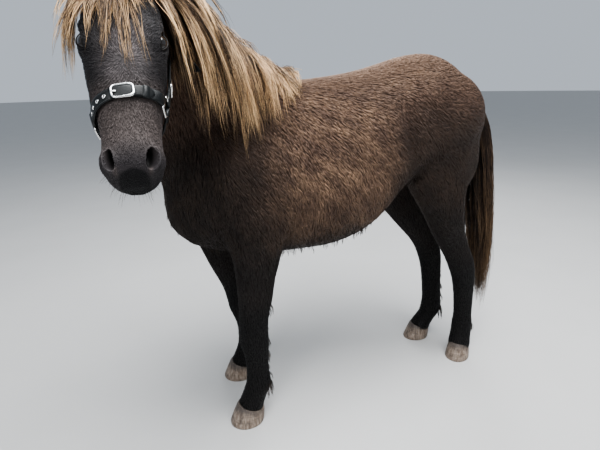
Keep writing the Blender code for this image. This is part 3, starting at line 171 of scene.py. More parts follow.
# Each leg: cannon x and y, y where it enters the trunk, toe turned out, reach of the pastern, sections.
LEGS = {
    "fore_left": (-0.353, -0.104, -0.108, 8, 1.1, FORELEG),
    "fore_right": (-0.324, 0.112, 0.110, 5, 1.0, FORELEG),
    "hind_left": (0.428, -0.068, -0.104, 36, 0.9, HINDLEG_LEFT),
    "hind_right": (0.396, 0.080, 0.104, 4, 1.9, HINDLEG),
}
LEG_ENTRY = 0.64

# How far a leg leans from its cannon's line: height and the shift in x there.
LEANS = {
    "fore_right": ((0.18, 0.0), (0.28, -0.012), (0.34, -0.030), (0.42, -0.064), (0.50, -0.090)),
    "hind_left": ((0.03, 0.0), (0.20, -0.010), (0.35, -0.020), (0.64, -0.020)),
}
FETLOCK = 0.12
VOXEL = 0.0055
RING_STEP = 0.012
FLESH_EASE = 42
print("legs", *LEGS)

# %% [markdown]
# A loft needs few sections and a smooth way between them. A cubic curve through every column of a table
# gives rings that are close enough together, so the tables can stay short enough to read.

# %% Helpers for lofted forms
def walked_along(points):
    """How far it is along a path to each of its points."""
    return np.concatenate([[0], np.cumsum(np.linalg.norm(np.diff(points, axis=0), axis=1))])


def curve_row(table, slopes, i, span, t):
    """The row at the share t of the span after row i, on a smooth curve through every column."""
    a = 2 * t**3 - 3 * t**2 + 1
    b = t**3 - 2 * t**2 + t
    c = 3 * t**2 - 2 * t**3
    d = t**3 - t**2
    return a * table[i] + b * span * slopes[i] + c * table[i + 1] + d * span * slopes[i + 1]


def curve_rows(table, along, wanted):
    """Rows of such a curve at the wanted distances along it."""
    slopes = np.gradient(table, along, axis=0)
    rows = []
    for at in wanted:
        i = min(int(np.searchsorted(along, at, side="right")) - 1, len(along) - 2)
        span = along[i + 1] - along[i]
        rows.append(curve_row(table, slopes, i, span, (at - along[i]) / span))
    return rows


def eased(rows, step):
    """The table's rows with more between them, along a smooth curve through every column."""
    table = np.array(rows, float)
    along = walked_along(table[:, :3])
    slopes = np.gradient(table, along, axis=0)
    made = []
    for i, span in enumerate(np.diff(along)):
        count = max(1, round(span / step))
        made += [curve_row(table, slopes, i, span, t) for t in np.arange(count) / count]
    return [*made, table[-1]]


def vector_at(table, walked, length):
    """The place at one distance along a path of points."""
    return Vector([float(np.interp(length, walked, table[:, k])) for k in range(3)])


def circle(centre, first, second, radius, count):
    """Points of a circle, from first round towards second."""
    turns = [2 * math.pi * k / count for k in range(count)]
    return [centre + (first * math.cos(turn) + second * math.sin(turn)) * radius for turn in turns]


def oval(centre, across, up, half_width, above, below, fullness_above=2.0, fullness_below=2.0, count=32):
    """One section: an oval of its own height above and below its widest level."""
    points = []
    for k in range(count):
        c = math.cos(2 * math.pi * k / count)
        s = math.sin(2 * math.pi * k / count)
        power = 2 / (fullness_above if s > 0 else fullness_below)
        wide = half_width * math.copysign(abs(c) ** power, c)
        high = (above if s > 0 else below) * math.copysign(abs(s) ** power, s)
        points.append(centre + across * wide + up * high)
    return points


# %% Meshes from rings, and what is done with them
def mesh_of(bm, name="piece"):
    bmesh.ops.recalc_face_normals(bm, faces=bm.faces)
    mesh = bpy.data.meshes.new(name)
    bm.to_mesh(mesh)
    bm.free()
    return mesh


def object_of(mesh, name="piece"):
    piece = bpy.data.objects.new(name, mesh)
    bpy.context.scene.collection.objects.link(piece)
    return piece


def tube(rings, closed=False, capped=True):
    """A body lofted through rings: closed on itself as a loop, or with a fan at each end."""
    bm = bmesh.new()
    made = [[bm.verts.new(p) for p in ring] for ring in rings]
    count = len(rings[0])
    pairs = list(zip(made, made[1:]))
    if closed:
        pairs.append((made[-1], made[0]))
    for lower, upper in pairs:
        for k in range(count):
            bm.faces.new((lower[k], lower[(k + 1) % count], upper[(k + 1) % count], upper[k]))
    for ring in () if closed or not capped else (made[0], made[-1]):
        middle = bm.verts.new(sum((v.co for v in ring), Vector()) / count)
        for k in range(count):
            bm.faces.new((ring[k], ring[(k + 1) % count], middle))
    return object_of(mesh_of(bm))


def ball(centre, radii, turn=None, level=3):
    """An ellipsoid with its three radii along the columns of turn, or along the world's axes."""
    bm = bmesh.new()
    bmesh.ops.create_icosphere(bm, subdivisions=level, radius=1)
    grow = Matrix.Diagonal((*radii, 1))
    turned = turn.to_4x4() if turn else Matrix()
    bmesh.ops.transform(bm, matrix=Matrix.Translation(centre) @ turned @ grow, verts=bm.verts)
    return object_of(mesh_of(bm))


def settled(piece):
    """Applies the modifiers of a piece to its mesh."""
    graph = bpy.context.evaluated_depsgraph_get()
    mesh = bpy.data.meshes.new_from_object(piece.evaluated_get(graph))
    piece.modifiers.clear()
    piece.data = mesh
    return piece


def joined(pieces):
    """One object that holds the meshes of them all."""
    bm = bmesh.new()
    for piece in pieces:
        bm.from_mesh(piece.data)
        bpy.data.objects.remove(piece)
    mesh = bpy.data.meshes.new("joined")
    bm.to_mesh(mesh)
    bm.free()
    return object_of(mesh)


def surface_of(pieces):
    """What find_nearest and ray_cast read: the surfaces of these pieces as one."""
    bm = bmesh.new()
    for piece in pieces:
        bm.from_mesh(piece.data)
    tree = BVHTree.FromBMesh(bm)
    bm.free()
    return tree

# %% [markdown]
# The head has its own axes: down the face from the poll, out of the forehead, and towards the pony's
# right. Eyes, nostrils, mouth and headcollar are all placed in them, so they stay true to the skull
# however it is turned.

# %% The head's own axes
POLL = Vector((-0.599, -0.217, 1.158))
NOSE_WAY = Vector((-0.055, -0.506, -0.860))
BROW_WAY = Vector((-0.057, -0.858, 0.510))


def head_axes():
    nose = NOSE_WAY.normalized()
    right = nose.cross(BROW_WAY).normalized()
    return Matrix((nose, right.cross(nose), right)).transposed()


HEAD_AXES = head_axes()
print("the face looks along", tuple(round(v, 2) for v in HEAD_AXES.col[1]))


def on_head(from_poll, level, out):
    """A point of the head: its distance down the face, its level towards the brow, and out to the right."""
    return POLL + HEAD_AXES @ Vector((from_poll, level, out))

# %% [markdown]
# An animal is modelled here as an artist blocks one out: a loft for each limb, then rounded masses for the
# shoulder, rump, cheeks and brows. Each of them is simple and closed, and they may overlap freely.

# %% Torso, neck, head and legs as forms
def torso_form():
    rings = []
    for x, top, widest, bottom, half, above, below in eased(TORSO, RING_STEP):
        middle = Vector((x, 0, widest))
        rings.append(oval(middle, ACROSS, UP, half, top - widest, widest - bottom, above, below, 48))
    return tube(rings)


def neck_form():
    rows = eased(NECK, RING_STEP)
    middles = [(Vector(row[:3]) + Vector(row[3:6])) / 2 for row in rows]
    rings = []
    for i, row in enumerate(rows):
        run = middles[min(i + 1, len(rows) - 1)] - middles[max(i - 1, 0)]
        rise = Vector(row[:3]) - Vector(row[3:6])
        across = run.cross(rise).normalized()
        high = rise.length / 2
        rings.append(oval(middles[i], across, rise.normalized(), row[6], high, high, 1.8, 2.1))
    return tube(rings)


def head_form():
    rings = []
    for along, top, widest, bottom, half, above, below in eased(HEAD, RING_STEP / 2):
        centre = on_head(along, widest, 0)
        _, out, right = HEAD_AXES.col
        rings.append(oval(centre, right, out, half, top - widest, widest - bottom, above, below))
    return tube(rings)


def leg_axis(name, height):
    """The line that a leg's sections are set from, and their turn, at one height."""
    cannon_x, cannon_y, entry_y, toe_out, _, _ = LEGS[name]
    lean = min(1, height / LEG_ENTRY) ** 2
    turned = math.radians(toe_out) * min(1, max(0, (0.34 - height) / 0.2))
    side = -1 if cannon_y < 0 else 1
    shift = np.interp(height, *zip(*LEANS.get(name, ((0, 0),))))
    place = Vector((cannon_x + float(shift), cannon_y + (entry_y - cannon_y) * lean, height))
    return place, Matrix.Rotation(-side * turned, 3, "Z")


def leg_form(name):
    reach, sections = LEGS[name][4:]
    rings = []
    for height, back, ahead, behind, half in eased(sections, RING_STEP):
        axis, turn = leg_axis(name, height)
        offset = back * reach if height < FETLOCK and back < 0 else back
        centre = axis + turn @ Vector((offset, 0, 0))
        rings.append(oval(centre, turn @ ACROSS, turn @ FORWARD, half, ahead, behind, 2.2, 2.2, 24))
    return tube(rings)

# %% Rounded masses of the trunk and head
def muscle(centre, radii, pitch=0.0):
    """A rounded mass, tipped nose up by pitch in degrees."""
    return ball(Vector(centre), radii, Matrix.Rotation(math.radians(pitch), 3, "Y"))


def muscles():
    """The rounded masses that give the trunk its form, on both sides."""
    made = []
    for side in (-1, 1):
        made += [
            muscle((-0.395, side * 0.082, 0.720), (0.085, 0.082, 0.160), pitch=28),
            muscle((-0.330, side * 0.108, 0.635), (0.105, 0.062, 0.105), pitch=-20),
            muscle((-0.470, side * 0.062, 0.645), (0.065, 0.066, 0.095)),
            muscle((-0.270, side * 0.068, 0.860), (0.110, 0.070, 0.110), pitch=30),
            muscle((0.255, side * 0.095, 0.845), (0.135, 0.092, 0.140), pitch=20),
            muscle((0.298, side * 0.085, 0.740), (0.092, 0.080, 0.145), pitch=-4),
            muscle((0.160, side * 0.118, 0.905), (0.080, 0.070, 0.070)),
            muscle((0.206, side * 0.118, 0.702), (0.068, 0.055, 0.085), pitch=20),
        ]
    return made


def head_masses():
    """The cheeks, brows, nostril wings, lips and chin."""
    made = []
    for side in (-1, 1):
        for along, level, out, radii in (
            (0.150, -0.085, 0.040, (0.068, 0.068, 0.026)),
            (0.154, 0.006, 0.054, (0.036, 0.030, 0.0235)),
            (0.143, 0.030, 0.050, (0.036, 0.017, 0.024)),
            (0.215, -0.012, 0.052, (0.060, 0.012, 0.012)),
            (0.370, 0.006, 0.033, (0.030, 0.026, 0.021)),
            (0.384, -0.024, 0.020, (0.019, 0.022, 0.019)),
        ):
            made.append(ball(on_head(along, level, side * out), radii, HEAD_AXES))
    made.append(ball(on_head(0.374, -0.066, 0), (0.026, 0.019, 0.023), HEAD_AXES))
    return made

# %% [markdown]
# Overlapping lofts and balls are fused by a voxel remesh, which wraps one even skin round them all, and
# then eased, more on the trunk than on the face and feet. A remesh at one size is quick and gives an even
# grid, which the tufts can be scattered over later.

# %% Fuse the flesh
def flesh():
    """The whole body without hooves, ears and hair, as one dense smooth surface."""
    legs = [leg_form(name) for name in LEGS]
    whole = joined([torso_form(), neck_form(), head_form(), *legs, *muscles(), *head_masses()])
    remesh = whole.modifiers.new("fuse", "REMESH")
    remesh.mode = "VOXEL"
    remesh.voxel_size = VOXEL
    settled(whole)
    ease = whole.vertex_groups.new(name="ease")
    weights = {}
    for vert in whole.data.vertices:
        nose = (HEAD_AXES.transposed() @ (vert.co - POLL)).x
        on_face = vert.co.x < -0.5 and nose > 0.06
        weight = 0.14 if on_face else min(1, max(0.10, (vert.co.z - 0.40) / 0.25))
        weights.setdefault(round(weight, 1), []).append(vert.index)
    for weight, found in weights.items():
        ease.add(found, weight, "REPLACE")
    smooth = whole.modifiers.new("ease", "SMOOTH")
    smooth.vertex_group = "ease"
    smooth.factor = 0.5
    smooth.iterations = FLESH_EASE
    return settled(whole)


body_form = flesh()
coat_surface = surface_of([body_form])
print("flesh", len(body_form.data.polygons), "faces")

# %% [markdown]
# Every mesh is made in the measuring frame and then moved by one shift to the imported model's frame. A hoof
# gives that shift: its sixteen-sided form, worked out here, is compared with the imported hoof's box.

# %% Hooves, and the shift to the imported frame
HOOF_HEIGHT = 0.048
HOOF_SLOPE = math.radians(16)
CAD_HOOF_COUNT = 16
CORONET_SET = -0.022
HOOF_FRONT_GROWTH = 0.016
FRAME_GAP = 0.0003

# Share of the height above the sole, half length, half width.
HOOF_ROWS = (
    (0.00, 0.0475, 0.0445),
    (0.07, 0.0490, 0.0460),
    (0.55, 0.0445, 0.0430),
    (0.93, 0.0400, 0.0395),
    (1.00, 0.0385, 0.0380),
)


def hoof_frame(name):
    """The middle of the coronet, and the hoof's axes as columns: to its toe, across and up."""
    axis, turn = leg_axis(name, HOOF_HEIGHT)
    centre = axis + turn @ Vector((CORONET_SET * LEGS[name][4], 0, 0))
    toe = turn @ FORWARD
    return centre, Matrix((toe, UP.cross(toe), UP)).transposed()


def hoof_rings(name, rows, count):
    """Rings of a hoof wall that flares from the sloping coronet to a flat sole."""
    centre, axes = hoof_frame(name)
    long, wide = (1, 1) if name.startswith("fore") else (0.94, 0.87)
    rings = []
    for t, length, width in rows:
        ring = []
        for k in range(count):
            angle = 2 * math.pi * k / count
            c = math.cos(angle)
            s = math.sin(angle)
            ahead = length * long * math.copysign(abs(c) ** (1 if c > 0 else 0.8), c)
            level = t * (HOOF_HEIGHT - FRAME_GAP + math.tan(HOOF_SLOPE) * ahead) - HOOF_HEIGHT
            place = (ahead + HOOF_FRONT_GROWTH * (1 - t), width * wide * s, level)
            ring.append(centre + axes @ Vector(place))
        rings.append(ring)
    return rings


def shift_to_frame():
    points = np.array([p for ring in hoof_rings("fore_left", HOOF_ROWS, CAD_HOOF_COUNT) for p in ring])
    low, high = (np.array(corner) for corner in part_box("fore_left_hoof"))
    return Vector((low + high) / 2 - (points.min(0) + points.max(0)) / 2)


SHIFT = shift_to_frame()
print("shift to the packed frame", tuple(round(v, 4) for v in SHIFT))

# %% [markdown]
# One helper names a piece, moves it, gives it its material, rides it on the only body, and hides the
# imported nodes that it stands for.

# %% Finish a piece
ALL_PIECES = []


def finished(piece, name, material, replaces=(), smooth=True):
    """Names a piece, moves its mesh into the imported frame, and ties it to the frame."""
    piece.name = name
    piece.data.name = name
    piece.data.transform(Matrix.Translation(SHIFT))
    piece.data.materials.clear()
    piece.data.materials.append(material)
    if smooth:
        piece.data.shade_smooth()
    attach(piece, "root")
    if replaces:
        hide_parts(*replaces)
    ALL_PIECES.append(piece)
    return piece

# %% [markdown]
# Each finish is made of shader nodes. A small helper adds them, so that a finish reads as a short recipe:
# any input may be a number, a colour or the output of another node. What several finishes share, such as
# the coat's markings, is a node group with named inputs and outputs.

# %% A helper for shader nodes
class Recipe:
    """Adds nodes to one tree. A socket given as an input is linked, and anything else is set."""

    def __init__(self, tree):
        self.tree = tree

    def add(self, kind, inputs=None, out=0, **settings):
        node = self.tree.nodes.new("ShaderNode" + kind)
        for key, value in settings.items():
            setattr(node, key, value)
        self.fill(node, inputs or {})
        return node.outputs[out]

    def fill(self, node, inputs):
        for key, value in inputs.items():
            if isinstance(value, bpy.types.NodeSocket):
                self.link(value, node.inputs[key])
            else:
                node.inputs[key].default_value = value

    def link(self, value, socket):
        self.tree.links.new(value, socket)

    def times(self, first, second):
        return self.math("MULTIPLY", first, second)

    def math(self, operation, first, second=0.0, clamp=False):
        return self.add("Math", {0: first, 1: second}, operation=operation, use_clamp=clamp)

    def between(self, value, low, high, at_low=0.0, at_high=1.0):
        """Eases from one value to another while the input goes from low to high."""
        ends = {"Value": value, "From Min": low, "From Max": high, "To Min": at_low, "To Max": at_high}
        return self.add("MapRange", ends, interpolation_type="SMOOTHSTEP")

    def mix(self, share, first, second, way="MIX"):
        return self.add("Mix", {0: share, 6: first, 7: second}, out=2, data_type="RGBA", blend_type=way)

    def noise(self, place, scale, detail=2.0, roughness=0.5):
        inputs = {"Vector": place, "Scale": scale, "Detail": detail, "Roughness": roughness}
        return self.add("TexNoise", inputs)

    def place(self):
        """The place on the body, in the measuring frame."""
        here = self.add("TexCoord", out="Object")
        return self.add("VectorMath", {0: here, 1: SHIFT}, operation="SUBTRACT")

    def stretched(self, place, scale):
        return self.add("VectorMath", {0: place, 1: scale}, operation="MULTIPLY")

    def bump(self, height, strength, distance):
        return self.add("Bump", {"Height": height, "Strength": strength, "Distance": distance})


def new_group(name, inputs, outputs):
    """An empty node group with these sockets, and the recipe, inputs and output node to fill it with."""
    group = bpy.data.node_groups.new(name, "ShaderNodeTree")
    for label, default in inputs.items():
        kind = "NodeSocketColor" if isinstance(default, tuple) else "NodeSocketFloat"
        group.interface.new_socket(name=label, in_out="INPUT", socket_type=kind).default_value = default
    for label, kind in outputs.items():
        group.interface.new_socket(name=label, in_out="OUTPUT", socket_type=kind)
    start = group.nodes.new("NodeGroupInput")
    end = group.nodes.new("NodeGroupOutput")
    return group, Recipe(group), start.outputs, end.inputs


def new_material(name, roughness=0.5, **settings):
    """A material with its Principled shader's own constants set, and a recipe to add nodes to it."""
    made = bpy.data.materials.new(name)
    made.use_nodes = True
    shader = made.node_tree.nodes["Principled BSDF"]
    shader.inputs["Roughness"].default_value = roughness
    for label, value in settings.items():
        shader.inputs[label.replace("_", " ")].default_value = value
    return made, Recipe(made.node_tree), shader.inputs

# %% [markdown]
# The coat's markings are worked out from the place on the body, the same way on the skin and on every
# tuft: near-black legs, reddish brown along the back and croup, gold on the barrel that is partly
# sun-bleached coat and partly painted sheen, a painted highlight on the hip, painted sheen along the top
# of the back, a charcoal face with grey hairs on the forehead, and a brown-grey muzzle. Tone is a tuft's
# own lightness.

# %% The coat's markings
LEG_BLACK = (0.0052, 0.0042, 0.0042, 1)
BLACK_BROWN = (0.0160, 0.0115, 0.0100, 1)
SEAL_BROWN = (0.0560, 0.0350, 0.0260, 1)
RED_BROWN = (0.1350, 0.0810, 0.0580, 1)
SUNBURNT_GOLD_AND_SHEEN = (0.3600, 0.2350, 0.1500, 1)
CHARCOAL = (0.0190, 0.0170, 0.0185, 1)
FOREHEAD_GREY = (0.2100, 0.1850, 0.1850, 1)
MUZZLE_BROWN = (0.1200, 0.0980, 0.0920, 1)
MUZZLE_DARK = (0.0290, 0.0260, 0.0290, 1)
LIP_BLACK = (0.0040, 0.0036, 0.0042, 1)


def coordinates_in(r, place, centre, axes):
    """A place in the axes of one feature, as three sockets."""
    offset = r.add("VectorMath", {0: place, 1: centre}, operation="SUBTRACT")
    return [r.add("VectorMath", {0: offset, 1: axes.col[k]}, out="Value", operation="DOT_PRODUCT")
            for k in range(3)]


def length_of(r, vector):
    return r.add("VectorMath", {0: vector}, out="Value", operation="LENGTH")


def face_markings(r, place, light):
    """Near-black cheeks, a brown nose, greyer and darker at the muzzle, grey hairs round the whorl."""
    from_poll, level, out = coordinates_in(r, place, POLL, HEAD_AXES)
    away = r.math("ABSOLUTE", out)
    bridge = r.times(r.between(from_poll, 0.215, 0.275), r.between(level, -0.055, 0.020))
    face = r.mix(r.times(bridge, 0.92), CHARCOAL, MUZZLE_BROWN)
    face = r.mix(r.times(r.between(from_poll, 0.325, 0.378), 0.88), face, MUZZLE_DARK)
    brow = r.times(r.between(from_poll, 0.07, 0.16), r.between(from_poll, 0.262, 0.215))
    brow = r.times(brow, r.between(away, 0.056, 0.010))
    grey = r.times(brow, r.between(light, 0.15, 0.90))
    face = r.mix(grey, face, FOREHEAD_GREY)
    beside = r.between(r.math("ABSOLUTE", r.math("SUBTRACT", away, 0.0275)), 0.0060, 0.0010)
    low = r.between(r.math("ABSOLUTE", r.math("SUBTRACT", from_poll, 0.3900)), 0.009, 0.002)
    face = r.mix(r.times(r.times(beside, low), 0.60), face, MUZZLE_BROWN)
    below = r.times(r.math("SUBTRACT", from_poll, 0.403), 1.45)
    from_lips = length_of(r, r.add("CombineXYZ", {0: below, 1: away}))
    return r.mix(r.between(from_lips, 0.0285, 0.0215), face, LIP_BLACK)

# %% Markings of the trunk and legs
def trunk_markings(r, place, light):
    """Brown over the back and croup, gold on the barrel that is partly sun-bleached coat and partly painted
    sheen, a painted highlight on the hip, painted sheen along the top, and near black on chest and legs.
    """
    x, y, z = (r.add("SeparateXYZ", {0: place}, out=k) for k in range(3))
    drift = r.noise(r.stretched(place, (7, 7, 5)), 1.0, 3.0)
    uneven = r.times(r.math("SUBTRACT", drift, 0.5), 0.16)
    high = r.math("ADD", z, uneven)
    along = r.math("ADD", x, uneven)
    barrel = r.times(r.between(along, -0.36, -0.18), r.between(along, 0.08, -0.05))
    level = r.times(r.between(high, 0.50, 0.64), r.between(high, 1.00, 0.88))
    barrel = r.times(barrel, level)
    behind = r.between(along, -0.50, -0.26)
    trunk = r.mix(r.times(behind, r.between(high, 0.46, 0.70)), BLACK_BROWN, SEAL_BROWN)
    trunk = r.mix(r.times(r.between(high, 0.72, 0.98), 0.85), trunk, RED_BROWN)
    trunk = r.mix(r.times(barrel, 0.66), trunk, RED_BROWN)
    thigh = r.times(r.between(along, 0.00, 0.12), r.between(high, 0.93, 0.82))
    trunk = r.mix(r.times(thigh, 0.50), trunk, BLACK_BROWN)
    # Painted highlight: a band of gold along the ridge of the hip.
    across_hip = r.between(r.math("ABSOLUTE", r.math("SUBTRACT", x, 0.11)), 0.11, 0.02)
    up_hip = r.between(r.math("ABSOLUTE", r.math("SUBTRACT", high, 0.955)), 0.040, 0.008)
    hip_highlight = r.times(r.times(across_hip, up_hip), 0.55)
    # The barrel's gold is partly sun-bleached coat and partly painted sheen.
    gold_and_sheen = r.math("MULTIPLY_ADD", r.math("MAXIMUM", barrel, hip_highlight), 0.62)
    gold_and_sheen.node.inputs[2].default_value = 0.08
    trunk = r.mix(r.times(r.between(light, 0.33, 0.92), gold_and_sheen), trunk, SUNBURNT_GOLD_AND_SHEEN)
    # Painted sheen: the top of the back and croup is made lighter, as if lit from above.
    trunk = r.mix(r.times(r.between(high, 0.90, 1.02), 0.22), trunk, SUNBURNT_GOLD_AND_SHEEN)
    trunk = r.mix(r.times(r.between(z, 0.62, 0.46), 0.9), trunk, BLACK_BROWN)
    trunk = r.mix(r.between(z, 0.44, 0.32), trunk, LEG_BLACK)
    return trunk, r.times(r.between(y, -0.22, -0.27), r.between(x, -0.46, -0.50))

# %% One group for all the markings
def coat_markings():
    group, r, given, result = new_group(
        "coat markings", {"Tone": 0.5, "Along": 0.5}, {"Colour": "NodeSocketColor"}
    )
    place = r.place()
    fine = r.noise(r.stretched(place, (30, 30, 18)), 1.0, 2.0)
    light = r.math("ADD", r.times(given["Tone"], 0.72), r.times(fine, 0.42))
    trunk, on_face = trunk_markings(r, place, light)
    colour = r.mix(on_face, trunk, face_markings(r, place, light))
    strength = r.math("MULTIPLY_ADD", given["Tone"], 0.60)
    strength.node.inputs[2].default_value = 0.62
    strength = r.times(strength, r.between(given["Along"], 0.0, 0.9, 0.70, 1.18))
    shade = r.add("CombineXYZ", {0: strength, 1: strength, 2: strength})
    r.link(r.mix(1.0, colour, shade, "MULTIPLY"), result["Colour"])
    return group


MARKINGS = coat_markings()
print("coat markings", len(MARKINGS.nodes), "nodes")

# %% [markdown]
# Fur reads two values that each tuft carries: its own tone and how far along the hair a point is. The skin
# below has neither, so it takes fixed ones that are darker, with a fine nap as its only relief.

# %% Fur and bare skin
def attribute(r, name):
    return r.add("Attribute", out="Fac", attribute_name=name)


def grouped(r, group, inputs, out="Colour"):
    """Places a node group in a material with its own values."""
    node = r.tree.nodes.new("ShaderNodeGroup")
    node.node_tree = group
    r.fill(node, inputs)
    return node.outputs[out]


def fur_material():
    """A tuft of short coat, a little glossy like healthy winter hair."""
    made, r, shader = new_material("coat_fur", 0.50, Specular_IOR_Level=0.28, Sheen_Weight=0.03)
    tuft = {"Tone": attribute(r, "tone"), "Along": attribute(r, "along")}
    r.link(grouped(r, MARKINGS, tuft), shader["Base Color"])
    return made


def skin_material():
    """What shows between the tufts: the same markings, darker, with a fine nap. Painted shade makes the
    insides of the nostrils and the line between the lips near black.
    """
    made, r, shader = new_material("skin_nap", 0.62, Specular_IOR_Level=0.22)
    colour = grouped(r, MARKINGS, {"Tone": 0.32, "Along": 0.30})
    # Painted shade: the hollow attribute paints the nostrils' insides and the lips' parting near black.
    colour = r.mix(attribute(r, "hollow"), colour, (0.0018, 0.0014, 0.0014, 1))
    r.link(colour, shader["Base Color"])
    nap = r.noise(r.stretched(r.place(), (700, 700, 220)), 1.0, 3.0, 0.6)
    r.link(r.bump(nap, 0.22, 0.0006), shader["Normal"])
    return made

# %% [markdown]
# Long hair fades along its length. Its roots are dark and the sun has bleached the tips, more in some
# strands than in others. One group does this for mane, forelock, tail and fetlock hair, each with its own
# root, middle and tip colours.

# %% Long hair colours
def long_hair_group():
    sockets = {"Tone": 0.5, "Along": 0.5, "Root": BLACK_BROWN, "Length": SEAL_BROWN, "Tip": SUNBURNT_GOLD_AND_SHEEN,
               "Bleach": 0.5}
    group, r, given, result = new_group("long hair", sockets, {"Colour": "NodeSocketColor"})
    drift = r.noise(r.stretched(r.place(), (26, 26, 9)), 1.0, 2.0)
    light = r.math("ADD", r.times(given["Tone"], 0.75), r.times(drift, 0.40))
    low = r.between(given["Along"], 0.0, 0.42)
    colour = r.mix(low, given["Root"], given["Length"])
    far = r.math("ADD", given["Along"], r.times(r.math("SUBTRACT", light, 0.55), 1.15))
    tip = r.times(r.between(far, 0.34, 1.10), given["Bleach"])
    colour = r.mix(tip, colour, given["Tip"])
    strength = r.between(light, 0.08, 0.95, 0.26, 1.42)
    shade = r.add("CombineXYZ", {0: strength, 1: strength, 2: strength})
    r.link(r.mix(1.0, colour, shade, "MULTIPLY"), result["Colour"])
    return group


LONG_HAIR = long_hair_group()
print("long hair", len(LONG_HAIR.nodes), "nodes")


def strand_material(name, root, length, tip, bleach):
    made, r, shader = new_material(name, 0.46, Specular_IOR_Level=0.32)
    values = {"Tone": attribute(r, "tone"), "Along": attribute(r, "along")}
    values.update({"Root": root, "Length": length, "Tip": tip, "Bleach": bleach})
    r.link(grouped(r, LONG_HAIR, values), shader["Base Color"])
    return made

# %% [markdown]
# The skin lies inside the coat by the coat's own depth: a couple of millimetres on the face, more on the
# trunk. The head is subdivided first, twice round the eyes, nostrils and mouth, so that their folds can be
# pushed into a mesh that is fine enough to hold them.

# %% How deep the coat is
def ease_between(value, low, high):
    """0 at low, 1 at high, with soft ends."""
    t = np.clip((value - low) / (high - low), 0, 1)
    return t * t * (3 - 2 * t)


def places_in(points, centre, axes):
    """Places in the axes of one feature."""
    return (points - np.array(centre)) @ np.array(axes)


def places_from(local, centre, axes):
    """The way back from a feature's axes."""
    return local @ np.array(axes).T + np.array(centre)


def head_places(points):
    return places_in(points, POLL, HEAD_AXES)


def head_share(points):
    """How far a place belongs to the head: 1 on the face, 0 on the neck."""
    cut_point = np.array((-0.590, -0.155, 1.050))
    cut_way = np.array((-0.523, -0.848, -0.076))
    return ease_between((points - cut_point) @ cut_way, -0.03, 0.04)


def coat_depth(points):
    """The coat's depth in metres at places on the body."""
    on_head = head_share(points)
    from_poll = head_places(points)[:, 0]
    trunk = 0.0054
    leg = 0.0030
    low = ease_between(points[:, 2], 0.40, 0.58)
    body = leg + (trunk - leg) * low
    face = 0.0026 - 0.0016 * ease_between(from_poll, 0.27, 0.36)
    return body * (1 - on_head) + face * on_head

# %% Sizes and places on the head
EYE_RADIUS = 0.0185
EYE_FROM_POLL = 0.153
EYE_LEVEL = 0.013
EYE_OUT = 0.0555
EYE_HALF = (0.0158, 0.0090)
NOSTRIL_PLACE = (0.3715, 0.026)
NOSTRIL_ASIDE = {-1: 0.0310, 1: 0.0350}
NOSTRIL_RADII = {-1: (0.0192, 0.0088, 0.0200), 1: (0.0185, 0.0074, 0.0200)}
MOUTH_START = 0.338
MOUTH_LEVEL = -0.050

# %% Subdivide the head
def eye_place(side):
    """The middle of an eyeball, and its axes as columns: along the lids, across them, and out."""
    out = (HEAD_AXES @ Vector((0.02, 0.66, 0.75 * side))).normalized()
    along = HEAD_AXES @ Vector((0.96, 0.26, 0))
    along = (along - out * along.dot(out)).normalized()
    centre = on_head(EYE_FROM_POLL, EYE_LEVEL, side * EYE_OUT)
    return centre, Matrix((along, out.cross(along), out)).transposed()


def nostril_place(side):
    """The middle of a nostril's hollow, and its axes: along it, across it, and out."""
    out = HEAD_AXES @ Vector((0.25, 0.82, 0.50 * side)).normalized()
    along = HEAD_AXES @ Vector((0.98, -0.12, -0.12 * side))
    along = (along - out * along.dot(out)).normalized()
    centre = on_head(*NOSTRIL_PLACE, side * NOSTRIL_ASIDE[side])
    return centre, Matrix((along, out.cross(along), out)).transposed()


def subdivided(piece, wanted):
    """Splits the faces for which wanted, given their middles as an array, is true."""
    bm = bmesh.new()
    bm.from_mesh(piece.data)
    bm.faces.ensure_lookup_table()
    middles = np.array([face.calc_center_median() for face in bm.faces])
    chosen = np.flatnonzero(wanted(middles))
    edges = {edge for i in chosen for edge in bm.faces[i].edges}
    bmesh.ops.subdivide_edges(bm, edges=list(edges), cuts=1, use_grid_fill=True)
    bm.to_mesh(piece.data)
    bm.free()
    return piece


def on_the_head(middles):
    return (head_share(middles) > 0.5) & (head_places(middles)[:, 0] > 0.05)


def near_a_feature(middles):
    places = head_places(middles)
    off = np.abs(places[:, 1] - MOUTH_LEVEL - 0.10 * (places[:, 0] - MOUTH_START))
    near = (places[:, 0] > 0.318) & (off < 0.014)
    for side in (-1, 1):
        for centre in (eye_place(side)[0], nostril_place(side)[0]):
            near |= np.linalg.norm(middles - np.array(centre), axis=1) < 0.030
    return near


def read_vectors(mesh, label):
    """The mesh's points (co) or their normals (normal), one to a row."""
    values = np.empty(len(mesh.vertices) * 3)
    mesh.vertices.foreach_get(label, values)
    return values.reshape(-1, 3)


def write_points(mesh, points):
    mesh.vertices.foreach_set("co", points.ravel())
    mesh.update()


skin = object_of(body_form.data.copy(), "skin")
bpy.data.objects.remove(body_form)
subdivided(skin, on_the_head)
subdivided(skin, near_a_feature)
skin.data.shade_smooth()
print("skin", len(skin.data.polygons), "faces")

# %% [markdown]
# Small forms are pressed into the fine mesh by moving its points: along a nostril's own axis, along the
# normal at the lips, and into a shallow bed under each eye. On the trunk, soft folds part the masses.

